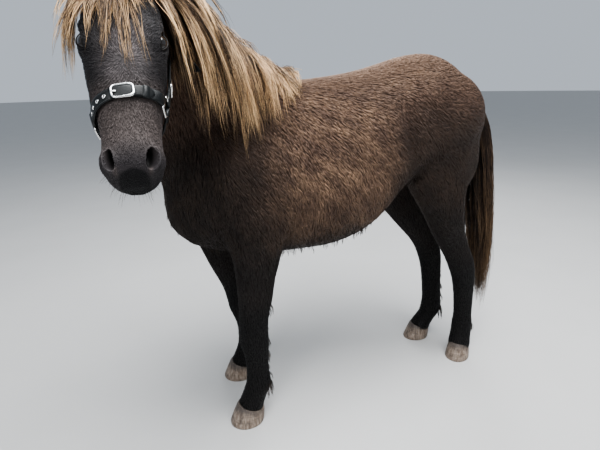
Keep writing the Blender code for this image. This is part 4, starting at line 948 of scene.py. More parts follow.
# %% Press the nostrils, mouth and eye sockets into the skin
def pressed_nostril(points, side):
    """A deep oval hollow with a soft raised wing round it."""
    centre, axes = nostril_place(side)
    local = places_in(points, centre, axes)
    shape = local / np.array(NOSTRIL_RADII[side])
    flat = np.linalg.norm(shape[:, :2], axis=1)
    near = np.abs(local[:, 2]) < 0.030
    inside = near & (flat < 1)
    floor_depth = -NOSTRIL_RADII[side][2] * np.sqrt(np.clip(1 - flat**2, 0, 1)) * 0.95
    moved = np.where(inside, np.minimum(local[:, 2], floor_depth + 0.0015), local[:, 2])
    wing = 0.0026 * np.exp(-(((flat - 1.25) / 0.28) ** 2)) * near * (local[:, 2] > -0.004)
    outer = ease_between(local[:, 1] * -side, -0.004, 0.010)
    moved = moved + wing * (0.45 + 0.85 * outer)
    # Painted shade: the inside of the nostril is marked to be painted near black.
    dark = near * (1 - ease_between(flat, 0.66, 1.08))
    local[:, 2] = moved
    return places_from(local, centre, axes), dark


def pressed_mouth(points, normals):
    """The line between the lips, with the lips a little full on either side of it."""
    places = head_places(points)
    level = MOUTH_LEVEL + 0.10 * (places[:, 0] - MOUTH_START)
    off = places[:, 1] - level
    reach = ease_between(places[:, 0], 0.322, 0.350)
    groove = -0.0042 * np.exp(-((off / 0.0016) ** 2))
    lips = 0.0014 * np.exp(-(((np.abs(off) - 0.0065) / 0.0040) ** 2))
    corner = -0.0012 * np.exp(-((off / 0.006) ** 2)) * np.exp(-(((places[:, 0] - 0.335) / 0.012) ** 2))
    facing_down = np.clip(-(normals @ np.array(HEAD_AXES.col[1])), 0, 1)
    # Painted shade: a dark line is marked along the parting of the lips.
    dark = np.exp(-((off / 0.0022) ** 2)) * reach * (1 - facing_down)
    return points + normals * ((groove + lips) * reach * (1 - facing_down) + corner)[:, None], dark


def pressed_eye(points, side):
    """A bed for the eyeball and its lids, under the brow."""
    centre, axes = eye_place(side)
    local = places_in(points, centre, axes)
    flat = np.hypot(local[:, 0] / (EYE_HALF[0] * 1.35), local[:, 1] / (EYE_HALF[1] * 1.55))
    near = (local[:, 2] > -0.02) & (local[:, 2] < 0.04)
    share = near * (1 - ease_between(flat, 0.72, 1.05))
    local[:, 2] += (0.002 - local[:, 2]) * share
    return places_from(local, centre, axes)

# %% Folds of the trunk, and the whole skin
# Folds of the trunk: places in x and z along each, then how deep and how wide it is.
FOLDS = (
    (((0.080, 0.910), (0.086, 0.850), (0.094, 0.780), (0.104, 0.715)), 0.013, 0.024),
    (((0.020, 0.930), (0.070, 0.962), (0.130, 0.950)), 0.006, 0.014),
    (((-0.215, 0.680), (-0.240, 0.600), (-0.262, 0.540)), 0.009, 0.020),
    (((-0.452, 0.760), (-0.440, 0.660), (-0.420, 0.575)), 0.007, 0.018),
    (((0.330, 0.800), (0.345, 0.700), (0.340, 0.600)), 0.006, 0.020),
)
FOLD_STEPS = 24


def pressed_folds(points, normals):
    """Shallow folds where one mass of the trunk meets the next, on both sides."""
    flat = points[:, (0, 2)]
    pushed = np.zeros(len(points))
    for path, depth, width in FOLDS:
        table = np.array(path)
        at = np.linspace(0, len(table) - 1, FOLD_STEPS)
        line = np.stack([np.interp(at, np.arange(len(table)), table[:, k]) for k in (0, 1)], 1)
        near = np.full(len(points), 1.0)
        end = np.abs(at / at[-1] * 2 - 1) ** 4
        strength = np.zeros(len(points))
        for (x, z), fade in zip(line, 1 - 0.85 * end):
            far = np.hypot(flat[:, 0] - x, flat[:, 1] - z)
            strength = np.where(far < near, fade, strength)
            near = np.minimum(near, far)
        pushed += depth * strength * np.exp(-((near / width) ** 2))
    aside = ease_between(np.abs(normals[:, 1]), 0.25, 0.60) * ease_between(np.abs(points[:, 1]), 0.05, 0.09)
    return points - normals * (pushed * aside * (1 - head_share(points)))[:, None]


def sculpt(piece):
    mesh = piece.data
    points = pressed_folds(read_vectors(mesh, "co"), read_vectors(mesh, "normal"))
    write_points(mesh, points)
    points = points - read_vectors(mesh, "normal") * coat_depth(points)[:, None]
    write_points(mesh, points)
    points, hollow = pressed_mouth(points, read_vectors(mesh, "normal"))
    for side in (-1, 1):
        points, dark = pressed_nostril(points, side)
        hollow = np.maximum(hollow, dark)
        points = pressed_eye(points, side)
    write_points(mesh, points)
    # The hollow attribute holds painted shade for the nostrils and the lips' parting.
    mesh.attributes.new("hollow", "FLOAT", "POINT").data.foreach_set("value", hollow.astype(np.float32))


sculpt(skin)
print("pressed", len(FOLDS), "folds a side, nostrils, mouth and eye beds")

# %% [markdown]
# Tufts take their texture place from the skin under their roots, so the skin is unwrapped first, by its
# own shape: the faces are gathered into flat charts by the way they face.

# %% Unwrap the skin
UV_NAME = "OFBake"


def unwrap(piece):
    piece.data.uv_layers.new(name=UV_NAME)
    bpy.context.view_layer.objects.active = piece
    piece.select_set(True)
    bpy.ops.object.mode_set(mode="EDIT")
    bpy.ops.mesh.select_all(action="SELECT")
    bpy.ops.uv.smart_project(angle_limit=math.radians(66), island_margin=0.001)
    bpy.ops.object.mode_set(mode="OBJECT")
    piece.select_set(False)


unwrap(skin)
skin_surface = surface_of([skin])
print("unwrapped", len(skin.data.uv_layers[UV_NAME].data), "corners")

# %% [markdown]
# Hair grows out of the skin's triangles. Ground holds them as arrays, so that a hundred thousand roots can
# be drawn at once: each triangle gets its share by area and by how dense the coat is there.

# %% The ground that hair grows from
class Ground:
    def __init__(self, piece):
        mesh = piece.data
        mesh.calc_loop_triangles()
        count = len(mesh.loop_triangles)
        corners = np.empty(count * 3, np.int32)
        loops = np.empty(count * 3, np.int32)
        mesh.loop_triangles.foreach_get("vertices", corners)
        mesh.loop_triangles.foreach_get("loops", loops)
        uvs = np.empty(len(mesh.loops) * 2)
        mesh.uv_layers[UV_NAME].data.foreach_get("uv", uvs)
        points = read_vectors(mesh, "co")
        self.corners = points[corners.reshape(-1, 3)]
        self.normals = read_vectors(mesh, "normal")[corners.reshape(-1, 3)]
        self.uvs = uvs.reshape(-1, 2)[loops.reshape(-1, 3)]
        sides = self.corners[:, 1:] - self.corners[:, :1]
        self.areas = np.linalg.norm(np.cross(sides[:, 0], sides[:, 1]), axis=1) / 2
        self.tree = BVHTree.FromPolygons(points.tolist(), corners.reshape(-1, 3).tolist())

    def roots(self, density, rng):
        """Places, normals and texture places for hairs, at so many to the square metre."""
        wanted = self.areas * density(self.corners.mean(1), self.normals.mean(1))
        counts = np.floor(wanted + rng.random(len(wanted))).astype(int)
        chosen = np.repeat(np.arange(len(wanted)), counts)
        first, second = rng.random((2, len(chosen)))
        over = first + second > 1
        first = np.where(over, 1 - first, first)
        second = np.where(over, 1 - second, second)
        shares = np.stack([1 - first - second, first, second], 1)[:, :, None]
        normals = (self.normals[chosen] * shares).sum(1)
        normals /= np.linalg.norm(normals, axis=1, keepdims=True)
        return (self.corners[chosen] * shares).sum(1), normals, (self.uvs[chosen] * shares).sum(1)

    def uv_at(self, point):
        return self.uvs[self.tree.find_nearest(point)[2]].mean(0)


ground = Ground(skin)
print("skin area", round(float(ground.areas.sum()), 3), "square metres")

# %% [markdown]
# The lie of the coat is a field of directions, flattened onto the skin. On the trunk hair runs back and
# down, on the croup straight back, on the legs down. On the face it fans out from a whorl low on the
# forehead: up towards the forelock, out over the cheeks, and down to the muzzle.

# %% The lie of the coat
WHORL = (0.205, 0.020, 0.0)


def waves(points, size, seed):
    """Smooth random waves between about -1 and 1, with features of about this size."""
    rng = np.random.default_rng(seed)
    total = np.zeros(len(points))
    for _ in range(5):
        way = rng.normal(size=3)
        way *= 2 * math.pi / size / np.linalg.norm(way) * rng.uniform(0.6, 1.3)
        total += np.sin(points @ way + rng.uniform(0, 6.28))
    return total / 3


def streaks(points):
    """Waves drawn out along the lie of the trunk's hair, as wet hair clings together."""
    lying = np.array((0.48, 0.0, -0.88))
    return waves(points - 0.70 * (points @ lying)[:, None] * lying, 0.026, 22)


def unit(vectors):
    return vectors / np.maximum(np.linalg.norm(vectors, axis=1, keepdims=True), 1e-9)


def lie(points, normals):
    """The way the hair lies at places on the body, along the skin."""
    x, y, z = points.T
    high = ease_between(z, 0.58, 1.00)
    rump = ease_between(x, 0.10, 0.34) * ease_between(z, 0.60, 0.80)
    chest = 1 - ease_between(x, -0.50, -0.38)
    back = 0.22 + 0.95 * high + 0.55 * rump
    back = back * (1 - chest) + 0.10 * chest
    down = -1.0 + 0.25 * rump
    trunk = np.stack([back, 0 * x, down], 1)
    neck_part = (1 - ease_between(x, -0.42, -0.26)) * ease_between(z, 0.78, 0.92)
    trunk += neck_part[:, None] * (np.array((0.34, 0.22, -1.0)) - trunk)
    leg_part = 1 - ease_between(z, 0.40, 0.56)
    trunk += leg_part[:, None] * (np.array((0.12, 0.0, -1.0)) - trunk)
    local = head_places(points) - np.array(WHORL)
    face = unit(local * np.array((1.0, 0.7, 1.25))) @ np.array(HEAD_AXES).T
    share = head_share(points)[:, None]
    way = unit(trunk) * (1 - share) + face * share
    way -= normals * (way * normals).sum(1, keepdims=True)
    way = unit(way)
    aside = np.cross(normals, way)
    turn = (0.22 * waves(points, 0.16, 3) + 0.10 * waves(points, 0.040, 4)) * (1 - 0.6 * share[:, 0])
    return unit(way + aside * turn[:, None])

# %% [markdown]
# A tuft of short coat is the smallest solid that can taper and bend: a spindle of six triangles, with its
# root point sunk in the skin, a flat ridged middle, and a tip that lies along the body. All of a region's
# tufts are worked out together as arrays and written as one mesh.

# %% Tufts of short coat
TUFT_PATCH = 0.0015
TUFT_FACES = np.array([(0, 2, 1), (0, 3, 2), (0, 1, 3), (4, 1, 2), (4, 2, 3), (4, 3, 1)])


def mesh_from_arrays(name, points, faces, uvs, tone, along):
    """A mesh of triangles with its texture places and the two values that its colours read."""
    mesh = bpy.data.meshes.new(name)
    mesh.vertices.add(len(points))
    mesh.vertices.foreach_set("co", points.astype(np.float32).ravel())
    mesh.loops.add(len(faces) * 3)
    mesh.loops.foreach_set("vertex_index", faces.astype(np.int32).ravel())
    mesh.polygons.add(len(faces))
    mesh.polygons.foreach_set("loop_start", np.arange(len(faces), dtype=np.int32) * 3)
    mesh.update(calc_edges=True)
    layer = mesh.uv_layers.new(name=UV_NAME)
    layer.data.foreach_set("uv", uvs[faces.ravel()].astype(np.float32).ravel())
    for label, values in (("tone", tone), ("along", along)):
        mesh.attributes.new(label, "FLOAT", "POINT").data.foreach_set("value", values.astype(np.float32))
    return mesh


def tufts(name, roots, ways, lengths, widths, lifts, rng, settle=True, variety=1.0):
    """Tufts as one object: roots are places, normals and texture places; ways are how they lie."""
    places, normals, uvs = roots
    count = len(places)
    aside = np.cross(normals, ways)
    tips = places + ways * lengths[:, None]
    tip_normals = normals
    if settle:
        found = [ground.tree.find_nearest(Vector(p)) for p in tips]
        near = np.array([f[0] for f in found])
        tip_normals = np.array([f[1] for f in found])
        tips = near
    tips = tips + tip_normals * (lifts * 0.95)[:, None]
    middle = places * 0.58 + tips * 0.42
    bow = normals * (lifts * 0.55 + lengths**2 * 0.6)[:, None]
    middle = middle + bow
    half = (widths / 2)[:, None]
    start = places - normals * 0.0012
    verts = np.stack([
        start,
        middle - aside * half - normals * widths[:, None] * 0.10,
        middle + aside * half - normals * widths[:, None] * 0.10,
        middle + normals * widths[:, None] * 0.22,
        tips,
    ], 1).reshape(-1, 3)
    patch = np.array([(0, -1), (-1, 0), (1, 0), (0, 0.2), (0, 1)]) * TUFT_PATCH
    tuft_uvs = (uvs[:, None, :] + patch[None]).reshape(-1, 2)
    faces = (np.arange(count)[:, None, None] * 5 + TUFT_FACES[None]).reshape(-1, 3)
    patchy = 0.5 + 0.26 * waves(places, 0.085, 21) + 0.24 * streaks(places)
    tone = np.clip(patchy * 0.58 + rng.random(count) * 0.42, 0, 1)
    tone = 0.5 + (tone - 0.5) * variety
    along = np.tile(np.array((0.0, 0.5, 0.5, 0.55, 1.0)), count)
    mesh = mesh_from_arrays(name, verts, faces, tuft_uvs, np.repeat(tone, 5), along)
    return object_of(mesh, name)

# %% [markdown]
# The headcollar comes before the hair, so that coat can be kept out from under it and the mane can lie over
# it. A strap pulled tight round the head follows the convex outline of the section that it crosses, which
# is how a real one bridges the hollows of the cheek.

# %% Straps pulled tight
STRAP_WIDTH = 0.020
STRAP_THICKNESS = 0.0038
STRAP_LIFT = 0.0014
NOSEBAND_MIDDLE = (0.282, -0.035)
NOSEBAND_RISE = 0.24
NOSEBAND_TIP = 0.09
RING_AT = {-1: (0.271, 0.004), 1: (0.284, -0.036)}
RING_HALF = 0.0135
RING_BAR = 0.0022
BUCKLE_HALF = (0.0174, 0.0128)
LOOP_COUNT = 84
RAY_COUNT = 192


def hull_of(points):
    """The convex outline of points in a plane, anticlockwise."""
    ordered = sorted(points)
    outline = []
    for run in (ordered, ordered[::-1]):
        chain = []
        for p in run:
            while len(chain) > 1:
                a, b = chain[-2:]
                if (b[0] - a[0]) * (p[1] - a[1]) - (b[1] - a[1]) * (p[0] - a[0]) > 0:
                    break
                chain.pop()
            chain.append(p)
        outline += chain[:-1]
    return outline


def leant(out, wide, rise):
    """The way out, leant so that a strap lies flat where the surface rises over its width."""
    return (out - wide * min(0.6, max(-0.6, rise / STRAP_WIDTH))).normalized()


def taut_loop(centre, first, second):
    """Points of a band pulled tight round the coat, with the way out at each one."""
    hits = []
    rises = []
    wide = first.cross(second)
    for k in range(RAY_COUNT):
        angle = 2 * math.pi * k / RAY_COUNT
        way = first * math.cos(angle) + second * math.sin(angle)
        edges = (centre + wide * STRAP_WIDTH / 2 * edge for edge in (-1, 0, 1))
        reach = [coat_surface.ray_cast(edge, way)[3] for edge in edges]
        hits.append((reach[1] * math.cos(angle), reach[1] * math.sin(angle)))
        rises.append(reach[2] - reach[0])
    outline = hull_of(hits)
    outline.append(outline[0])
    walked = walked_along(np.array(outline))
    even = np.linspace(0, walked[-1], LOOP_COUNT, endpoint=False)
    xs = rounded_off(np.interp(even, walked, [p[0] for p in outline]))
    ys = rounded_off(np.interp(even, walked, [p[1] for p in outline]))
    loop = []
    for k in range(LOOP_COUNT):
        ahead = Vector((xs[(k + 1) % LOOP_COUNT] - xs[k - 1], ys[(k + 1) % LOOP_COUNT] - ys[k - 1]))
        ahead.normalize()
        at = round(math.atan2(ys[k], xs[k]) / (2 * math.pi) * RAY_COUNT)
        rise = sum(rises[(at + near) % RAY_COUNT] for near in range(-6, 7)) / 13
        out = leant(first * ahead.y - second * ahead.x, wide, rise)
        loop.append((centre + first * float(xs[k]) + second * float(ys[k]) + out * STRAP_LIFT, out))
    return loop

# %% Parts of a loop, and a strap along the cheek
def rounded_off(values, passes=3):
    """Eases a closed run of values a little, as thick leather does at a corner."""
    for _ in range(passes):
        values = (np.roll(values, 1) + 2 * values + np.roll(values, -1)) / 4
    return values


def arc_between(loop, start, end):
    """The part of a loop from the point nearest to start to that nearest to end, the way it runs."""
    first = min(range(len(loop)), key=lambda i: (loop[i][0] - start).length)
    last = min(range(len(loop)), key=lambda i: (loop[i][0] - end).length)
    if last < first:
        last += len(loop)
    return [loop[i % len(loop)] for i in range(first, last + 1)]


def nearest_of(loop, place):
    return min(loop, key=lambda item: (item[0] - place).length)


def cheek_run(start, end, out, count=30):
    """Points of a strap along the cheek between two rings, pulled tight over its swell."""
    along = (end - start).normalized()
    out = (out - along * out.dot(along)).normalized()
    length = (end - start).length
    wide = along.cross(out)
    hits = []
    rises = []
    for k in range(41):
        base = start + along * (length * k / 40) + out * 0.15
        edges = (base + wide * STRAP_WIDTH / 2 * edge for edge in (-1, 0, 1))
        reach = [coat_surface.ray_cast(edge, -out)[3] for edge in edges]
        hits.append((length * k / 40, 0.15 - reach[1]))
        rises.append(reach[0] - reach[2])
    lower = min(p[1] for p in hits) - 0.1
    outline = [p for p in hull_of([*hits, (0.0, lower), (length, lower)]) if p[1] > lower + 1e-6]
    outline.sort()
    walked = np.linspace(0.010, length - 0.010, count)
    heights = np.interp(walked, [p[0] for p in outline], [p[1] for p in outline])
    heights = np.convolve(np.pad(heights, 2, "edge"), np.ones(5) / 5, "valid")
    run = []
    for i in range(count):
        before = max(0, i - 1)
        after = min(count - 1, i + 1)
        lean = (heights[after] - heights[before]) / (walked[after] - walked[before])
        way = (out - along * float(lean)).normalized()
        way = leant(way, wide, rises[round(walked[i] / length * 40)])
        run.append((start + along * float(walked[i]) + out * float(heights[i]) + way * STRAP_LIFT, way))
    return run

# %% [markdown]
# Leather straps have thick rounded edges and are doubled over where they turn back through a ring. A loft
# of one section along the run holds both, and keeps its width true round every bend. Thread is modelled
# too, because a row of stitches catches the light in a way that a bump does not.

# %% A strap of leather with rounded edges
STRAP_PROFILE = 16


def strap_section(across, out, half, thick):
    """A flat section with rounded edges, a little crowned on its outer face."""
    points = []
    for k in range(STRAP_PROFILE):
        angle = 2 * math.pi * k / STRAP_PROFILE
        c = math.cos(angle)
        s = math.sin(angle)
        wide = half * math.copysign(abs(c) ** 0.35, c)
        high = thick / 2 * (1 + math.copysign(abs(s) ** 0.45, s) * (1 - 0.12 * c * c))
        points.append(across * wide + out * high)
    return points


def strap(run, width_way, width=STRAP_WIDTH, thickness=STRAP_THICKNESS, fold=0.0, point=0.0, base=0.0):
    """A strap through points with their ways out. Its ends are doubled over a length fold, and its last
    end is cut to a point over a length point; base lifts it off what is under it."""
    rings = []
    lengths = [0.0]
    for (a, _), (b, _) in zip(run, run[1:]):
        lengths.append(lengths[-1] + (b - a).length)
    for i, (place, out) in enumerate(run):
        ahead = run[min(i + 1, len(run) - 1)][0] - run[max(i - 1, 0)][0]
        across = ahead.cross(out).normalized()
        if across.dot(width_way) < 0:
            across = -across
        away = min(lengths[i], lengths[-1] - lengths[i])
        doubled = 1 + max(0.0, min(1.0, (fold - away) / 0.004))
        left = lengths[-1] - lengths[i]
        narrow = 1.0 if left >= point else max(0.12, (left / point) ** 0.5)
        section = strap_section(across, out, width / 2 * narrow, thickness * doubled)
        rings.append([place + out * base + offset for offset in section])
    return tube(rings)


class Gathered:
    """Many small lofted forms in one mesh."""

    def __init__(self):
        self.points = []
        self.faces = []

    def loft(self, rings):
        """Adds a form through rings of points, with both ends closed."""
        count = len(rings[0])
        start = len(self.points)
        for ring in rings:
            self.points.extend(ring)
        for i in range(len(rings) - 1):
            for k in range(count):
                low = start + i * count
                after = (k + 1) % count
                self.faces.append((low + k, low + after, low + count + after, low + count + k))
        self.faces.append(tuple(range(start, start + count))[::-1])
        self.faces.append(tuple(range(len(self.points) - count, len(self.points))))

    def piece(self):
        mesh = bpy.data.meshes.new("gathered")
        mesh.from_pydata(self.points, [], self.faces)
        bm = bmesh.new()
        bm.from_mesh(mesh)
        bmesh.ops.recalc_face_normals(bm, faces=bm.faces)
        bm.to_mesh(mesh)
        bm.free()
        return object_of(mesh)

# %% Stitches
STITCH_PITCH = 0.0034
STITCH_RADIUS = 0.00042
STITCH_SIDES = 5


def stitches(gathered, run, width_way, inset, lift):
    """Two rows of stitches along a strap, each stitch a short thread that dips at its ends."""
    places = np.array([place for place, _ in run])
    outs = np.array([out for _, out in run])
    walked = walked_along(places)
    for k in range(int((walked[-1] - STITCH_PITCH) / STITCH_PITCH)):
        for row in (-1, 1):
            rings = []
            for share in (0.0, 0.25, 0.75, 1.0):
                length = (k + 0.62 + 0.76 * share) * STITCH_PITCH
                out = vector_at(outs, walked, length).normalized()
                steps = (length - 0.001, length, length + 0.001)
                before, here, after = (vector_at(places, walked, step) for step in steps)
                across = (after - before).normalized().cross(out).normalized()
                high = lift + (0.00012 if share in (0.25, 0.75) else -0.00035)
                centre = here + across * row * inset + out * high
                rings.append(circle(centre, across, out, STITCH_RADIUS, STITCH_SIDES))
            gathered.loft(rings)

# %% [markdown]
# Rings and buckles are bent from round bar. A frame with four rounded corners gives them all: square side
# rings, an oblong buckle with one thicker bar, and an eyelet when its corners are fully round.

# %% Metal rings and buckles
BAR_SIDES = 12


def frame_ring(centre, along, across, half_length, half_width, bar, corner=0.35, bar_scale=1.0):
    """A metal ring with four rounded corners, lying in the plane of along and across. bar_scale makes the
    bar at the far end of along thicker."""
    out = along.cross(across).normalized()
    corner = corner * min(half_length, half_width)
    rings = []
    for quarter in range(4):
        sx = 1 if quarter in (0, 3) else -1
        sy = 1 if quarter in (0, 1) else -1
        middle = along * (half_length - corner) * sx + across * (half_width - corner) * sy
        for step in range(7):
            angle = math.radians(90 * quarter + 15 * step)
            way = along * math.cos(angle) + across * math.sin(angle)
            radius = bar * (bar_scale if sx > 0 else 1.0)
            rings.append(circle(centre + middle + way * corner, way, out, radius, BAR_SIDES))
    return tube(rings, closed=True)


def rod(start, end, radius, count=10):
    """A round rod with rounded ends."""
    way = (end - start).normalized()
    side = way.orthogonal().normalized()
    other = way.cross(side)
    rings = []
    for share, grow in ((0.0, 0.3), (0.04, 0.8), (0.12, 1.0), (0.88, 1.0), (0.96, 0.8), (1.0, 0.3)):
        rings.append(circle(start.lerp(end, share), side, other, radius * grow, count))
    return tube(rings)


# %% [markdown]
# Black leather is never one even black: it is scuffed paler where it rubs, and its pores break up the
# shine. The plated metal is bright, with fine marks that run one way.

# %% Leather, thread and metal
def leather_material():
    """Black leather with a faint blue-green cast that is a painted reflection of the sky, with pores, a soft
    worn grain and scuffed lighter edges.
    """
    made, r, shader = new_material("black_leather", 0.45, Specular_IOR_Level=0.36)
    place = r.place()
    scuff = r.between(r.noise(r.stretched(place, (70, 70, 70)), 1.0, 5.0, 0.65), 0.52, 0.80)
    worn = r.between(r.add("NewGeometry", out="Pointiness"), 0.53, 0.62)
    wear = r.math("ADD", r.times(scuff, 0.35), r.times(worn, 0.55), clamp=True)
    # Painted reflection: both blacks lean blue-green, as the sky's light on the leather would make them.
    colour = r.mix(wear, (0.0032, 0.0042, 0.0046, 1), (0.0170, 0.0205, 0.0215, 1))
    r.link(colour, shader["Base Color"])
    r.link(r.between(scuff, 0.0, 1.0, 0.38, 0.60), shader["Roughness"])
    pores = r.add("TexVoronoi", {"Vector": place, "Scale": 1300.0}, out="Distance")
    grain = r.noise(r.stretched(place, (420, 420, 420)), 1.0, 4.0, 0.6)
    height = r.math("ADD", r.times(pores, 0.6), grain)
    r.link(r.bump(height, 0.40, 0.0004), shader["Normal"])
    return made


def thread_material():
    made, r, shader = new_material("waxed_thread", 0.55)
    twist = r.noise(r.stretched(r.place(), (2400, 2400, 2400)), 1.0, 1.0)
    r.link(r.mix(twist, (0.030, 0.034, 0.036, 1), (0.060, 0.066, 0.068, 1)), shader["Base Color"])
    return made


def metal_material():
    """Plated steel, bright, with fine rubbing marks."""
    made, r, shader = new_material("plated_steel", 0.18, Metallic=1.0)
    place = r.place()
    marks = r.noise(r.stretched(place, (260, 260, 1200)), 1.0, 4.0, 0.6)
    cloud = r.noise(r.stretched(place, (60, 60, 60)), 1.0, 3.0)
    r.link(r.mix(cloud, (0.72, 0.72, 0.71, 1), (0.86, 0.86, 0.85, 1)), shader["Base Color"])
    r.link(r.between(marks, 0.3, 0.8, 0.12, 0.30), shader["Roughness"])
    r.link(r.bump(marks, 0.10, 0.0002), shader["Normal"])
    return made


LEATHER = leather_material()
THREAD = thread_material()
METAL = metal_material()
print("materials", LEATHER.name, THREAD.name, METAL.name)

# %% [markdown]
# The headcollar is laid out as it is buckled on: a band round the nose, one behind the ears and under the
# throat, and a strap along each cheek that joins them. The rings sit where the bands and straps meet.

# %% The headcollar
BUCKLE_BAR_RISE = 0.0026
EYELET_STEP = 0.0145
EYELET_COUNT = 4


def headcollar():
    """The headcollar's straps and metal: each piece by name, with the run it follows."""
    down, brow, right = (HEAD_AXES.col[i].copy() for i in range(3))
    upward = (brow - down * NOSEBAND_RISE).normalized()
    aside = right + down * NOSEBAND_TIP
    aside = (aside - upward * aside.dot(upward)).normalized()
    nose_width_way = upward.cross(aside)
    nose_loop = taut_loop(on_head(*NOSEBAND_MIDDLE, 0), upward, aside)
    top = on_head(-0.020, -0.030, 0)
    throat = on_head(0.128, -0.168, 0)
    fall = (throat - top).normalized()
    crown_width_way = right.cross(fall).normalized()
    neck_loop = taut_loop((top + throat) / 2, -fall, right)
    made = {}
    runs = {}
    rings = {}
    for side, word in SIDES:
        nose_at = nearest_of(nose_loop, on_head(*RING_AT[side], side * 0.06))
        neck_at = nearest_of(neck_loop, on_head(0.075, -0.100, side * 0.08))
        rings[word] = (nose_at, neck_at)
        for name, (point, out), along in (
            ("ring_nose_", nose_at, nose_width_way),
            ("ring_cheek_", neck_at, -fall),
        ):
            across = out.cross(along).normalized()
            place = point + out * (STRAP_THICKNESS + 0.0002)
            made[name + word] = frame_ring(place, across.cross(out), across, RING_HALF, RING_HALF, RING_BAR)
    for name, loop, width_way, which, order in (
        ("noseband", nose_loop, nose_width_way, 0, ("left", "right")),
        ("chinband", nose_loop, nose_width_way, 0, ("right", "left")),
        ("crownpiece", neck_loop, crown_width_way, 1, ("left", "right")),
        ("throatlash", neck_loop, crown_width_way, 1, ("right", "left")),
    ):
        start, end = (rings[word][which][0] for word in order)
        run = arc_between(loop, start, end)
        middle = run[len(run) // 2][0]
        high = (middle - (start + end) / 2).dot(brow if which == 0 else -fall)
        if (high > 0) != (name in ("noseband", "crownpiece")):
            run = arc_between(loop, end, start)
        runs[name] = (run[2:-2], width_way)
    for side, word in SIDES:
        (nose_point, _), (neck_point, _) = rings[word]
        along = (neck_point - nose_point).normalized()
        runs["cheekpiece_" + word] = (
            cheek_run(nose_point, neck_point, right * side),
            along.cross(right * side).normalized(),
        )
    for name, (run, width_way) in runs.items():
        made[name] = strap(run, width_way, fold=0.026)

    run, width_way = runs["cheekpiece_left"]
    along = (rings["left"][1][0] - rings["left"][0][0]).normalized()
    made["end_strap"], end_run = free_end(run, width_way)
    point, out = run[7]
    made["buckle_cheek"] = frame_ring(point + out * 0.0062, along, width_way, 0.0105, 0.0125, 0.0020)
    front = runs["noseband"][0]
    if (front[0][0] - front[-1][0]).dot(right) > 0:
        front = front[::-1]
    middle = max(range(len(front)), key=lambda i: front[i][0].dot(brow))
    middle += 1
    made["billet"] = billet(front, middle, nose_width_way)
    made["buckle_nose"] = nose_buckle(*front[middle], nose_width_way)
    chin = min(nose_loop, key=lambda item: item[0].dot(brow))
    drop = chin[0] + chin[1] * (STRAP_THICKNESS + 0.0125)
    made["ring_lead"] = frame_ring(drop, chin[1], down.cross(chin[1]), 0.0115, 0.0125, 0.0022)
    return made, runs, front, middle, end_run

# %% The loose end, the billet, the buckle and the eyelets
def free_end(run, width_way):
    """The loose end of the crown strap, which lies on the cheek strap, then stands off it to a point."""
    lifts = ((1.00, 0.0008), (0.92, 0.0010), (0.84, 0.0060), (0.76, 0.020), (0.69, 0.037), (0.63, 0.055))
    points = []
    for share, lift in lifts:
        place, out = run[round(share * (len(run) - 1))]
        points.append((place + out * (STRAP_THICKNESS + lift), out))
    smooth = resampled(points, 26)
    return strap(smooth, width_way, point=0.012), smooth


def resampled(run, count):
    """The run with this many even points, along a smooth curve."""
    table = np.array([[*place, *out] for place, out in run])
    walked = walked_along(table[:, :3])
    rows = curve_rows(table, walked, np.linspace(0, walked[-1], count))
    return [(Vector(row[:3]), Vector(row[3:]).normalized()) for row in rows]


def billet(front, middle, width_way):
    """The strap's free end: it fills the buckle, passes the keeper, and lies on towards the left."""
    over = [(place + out * STRAP_THICKNESS * 0.92, out) for place, out in front[5 : middle + 5]]
    end = strap(over[::-1], width_way, STRAP_WIDTH * 0.90, STRAP_THICKNESS * 0.6, point=0.010)
    keeper = [(place - out * 0.0006, out) for place, out in front[middle - 8 : middle - 5]]
    loop = strap(keeper, width_way, STRAP_WIDTH * 1.09, STRAP_THICKNESS * 2.0)
    return joined([end, loop])


def nose_buckle(point, out, width_way):
    """A rounded frame on the strap, thicker at the pony's left bar, with the tip of its tongue."""
    across = out.cross(width_way).normalized()
    if across.dot(HEAD_AXES.col[2]) > 0:
        across = -across
    centre = point + out * (STRAP_THICKNESS + BUCKLE_BAR_RISE)
    frame_piece = frame_ring(centre, across, width_way, *BUCKLE_HALF, 0.0019, 0.62, 1.3)
    tip = centre - across * (BUCKLE_HALF[0] + 0.0012) + out * 0.0016
    tongue = rod(tip, centre - across * 0.0095 + out * 0.0004, 0.0015)
    return joined([frame_piece, tongue])


def eyelets(front, middle, width_way):
    """Metal eyelets along the strap on the pony's right."""
    made = []
    start, _ = front[middle]
    walked = 0.0
    wanted = BUCKLE_HALF[0] + 0.0125
    last = start
    for place, out in front[middle + 1 :]:
        walked += (place - last).length
        last = place
        if walked >= wanted and len(made) < EYELET_COUNT:
            wanted += EYELET_STEP
            across = out.cross(width_way).normalized()
            centre = place + out * (STRAP_THICKNESS + 0.0001)
            made.append(frame_ring(centre, across, width_way, 0.0028, 0.0028, 0.0009, 1.0))
    return joined(made)

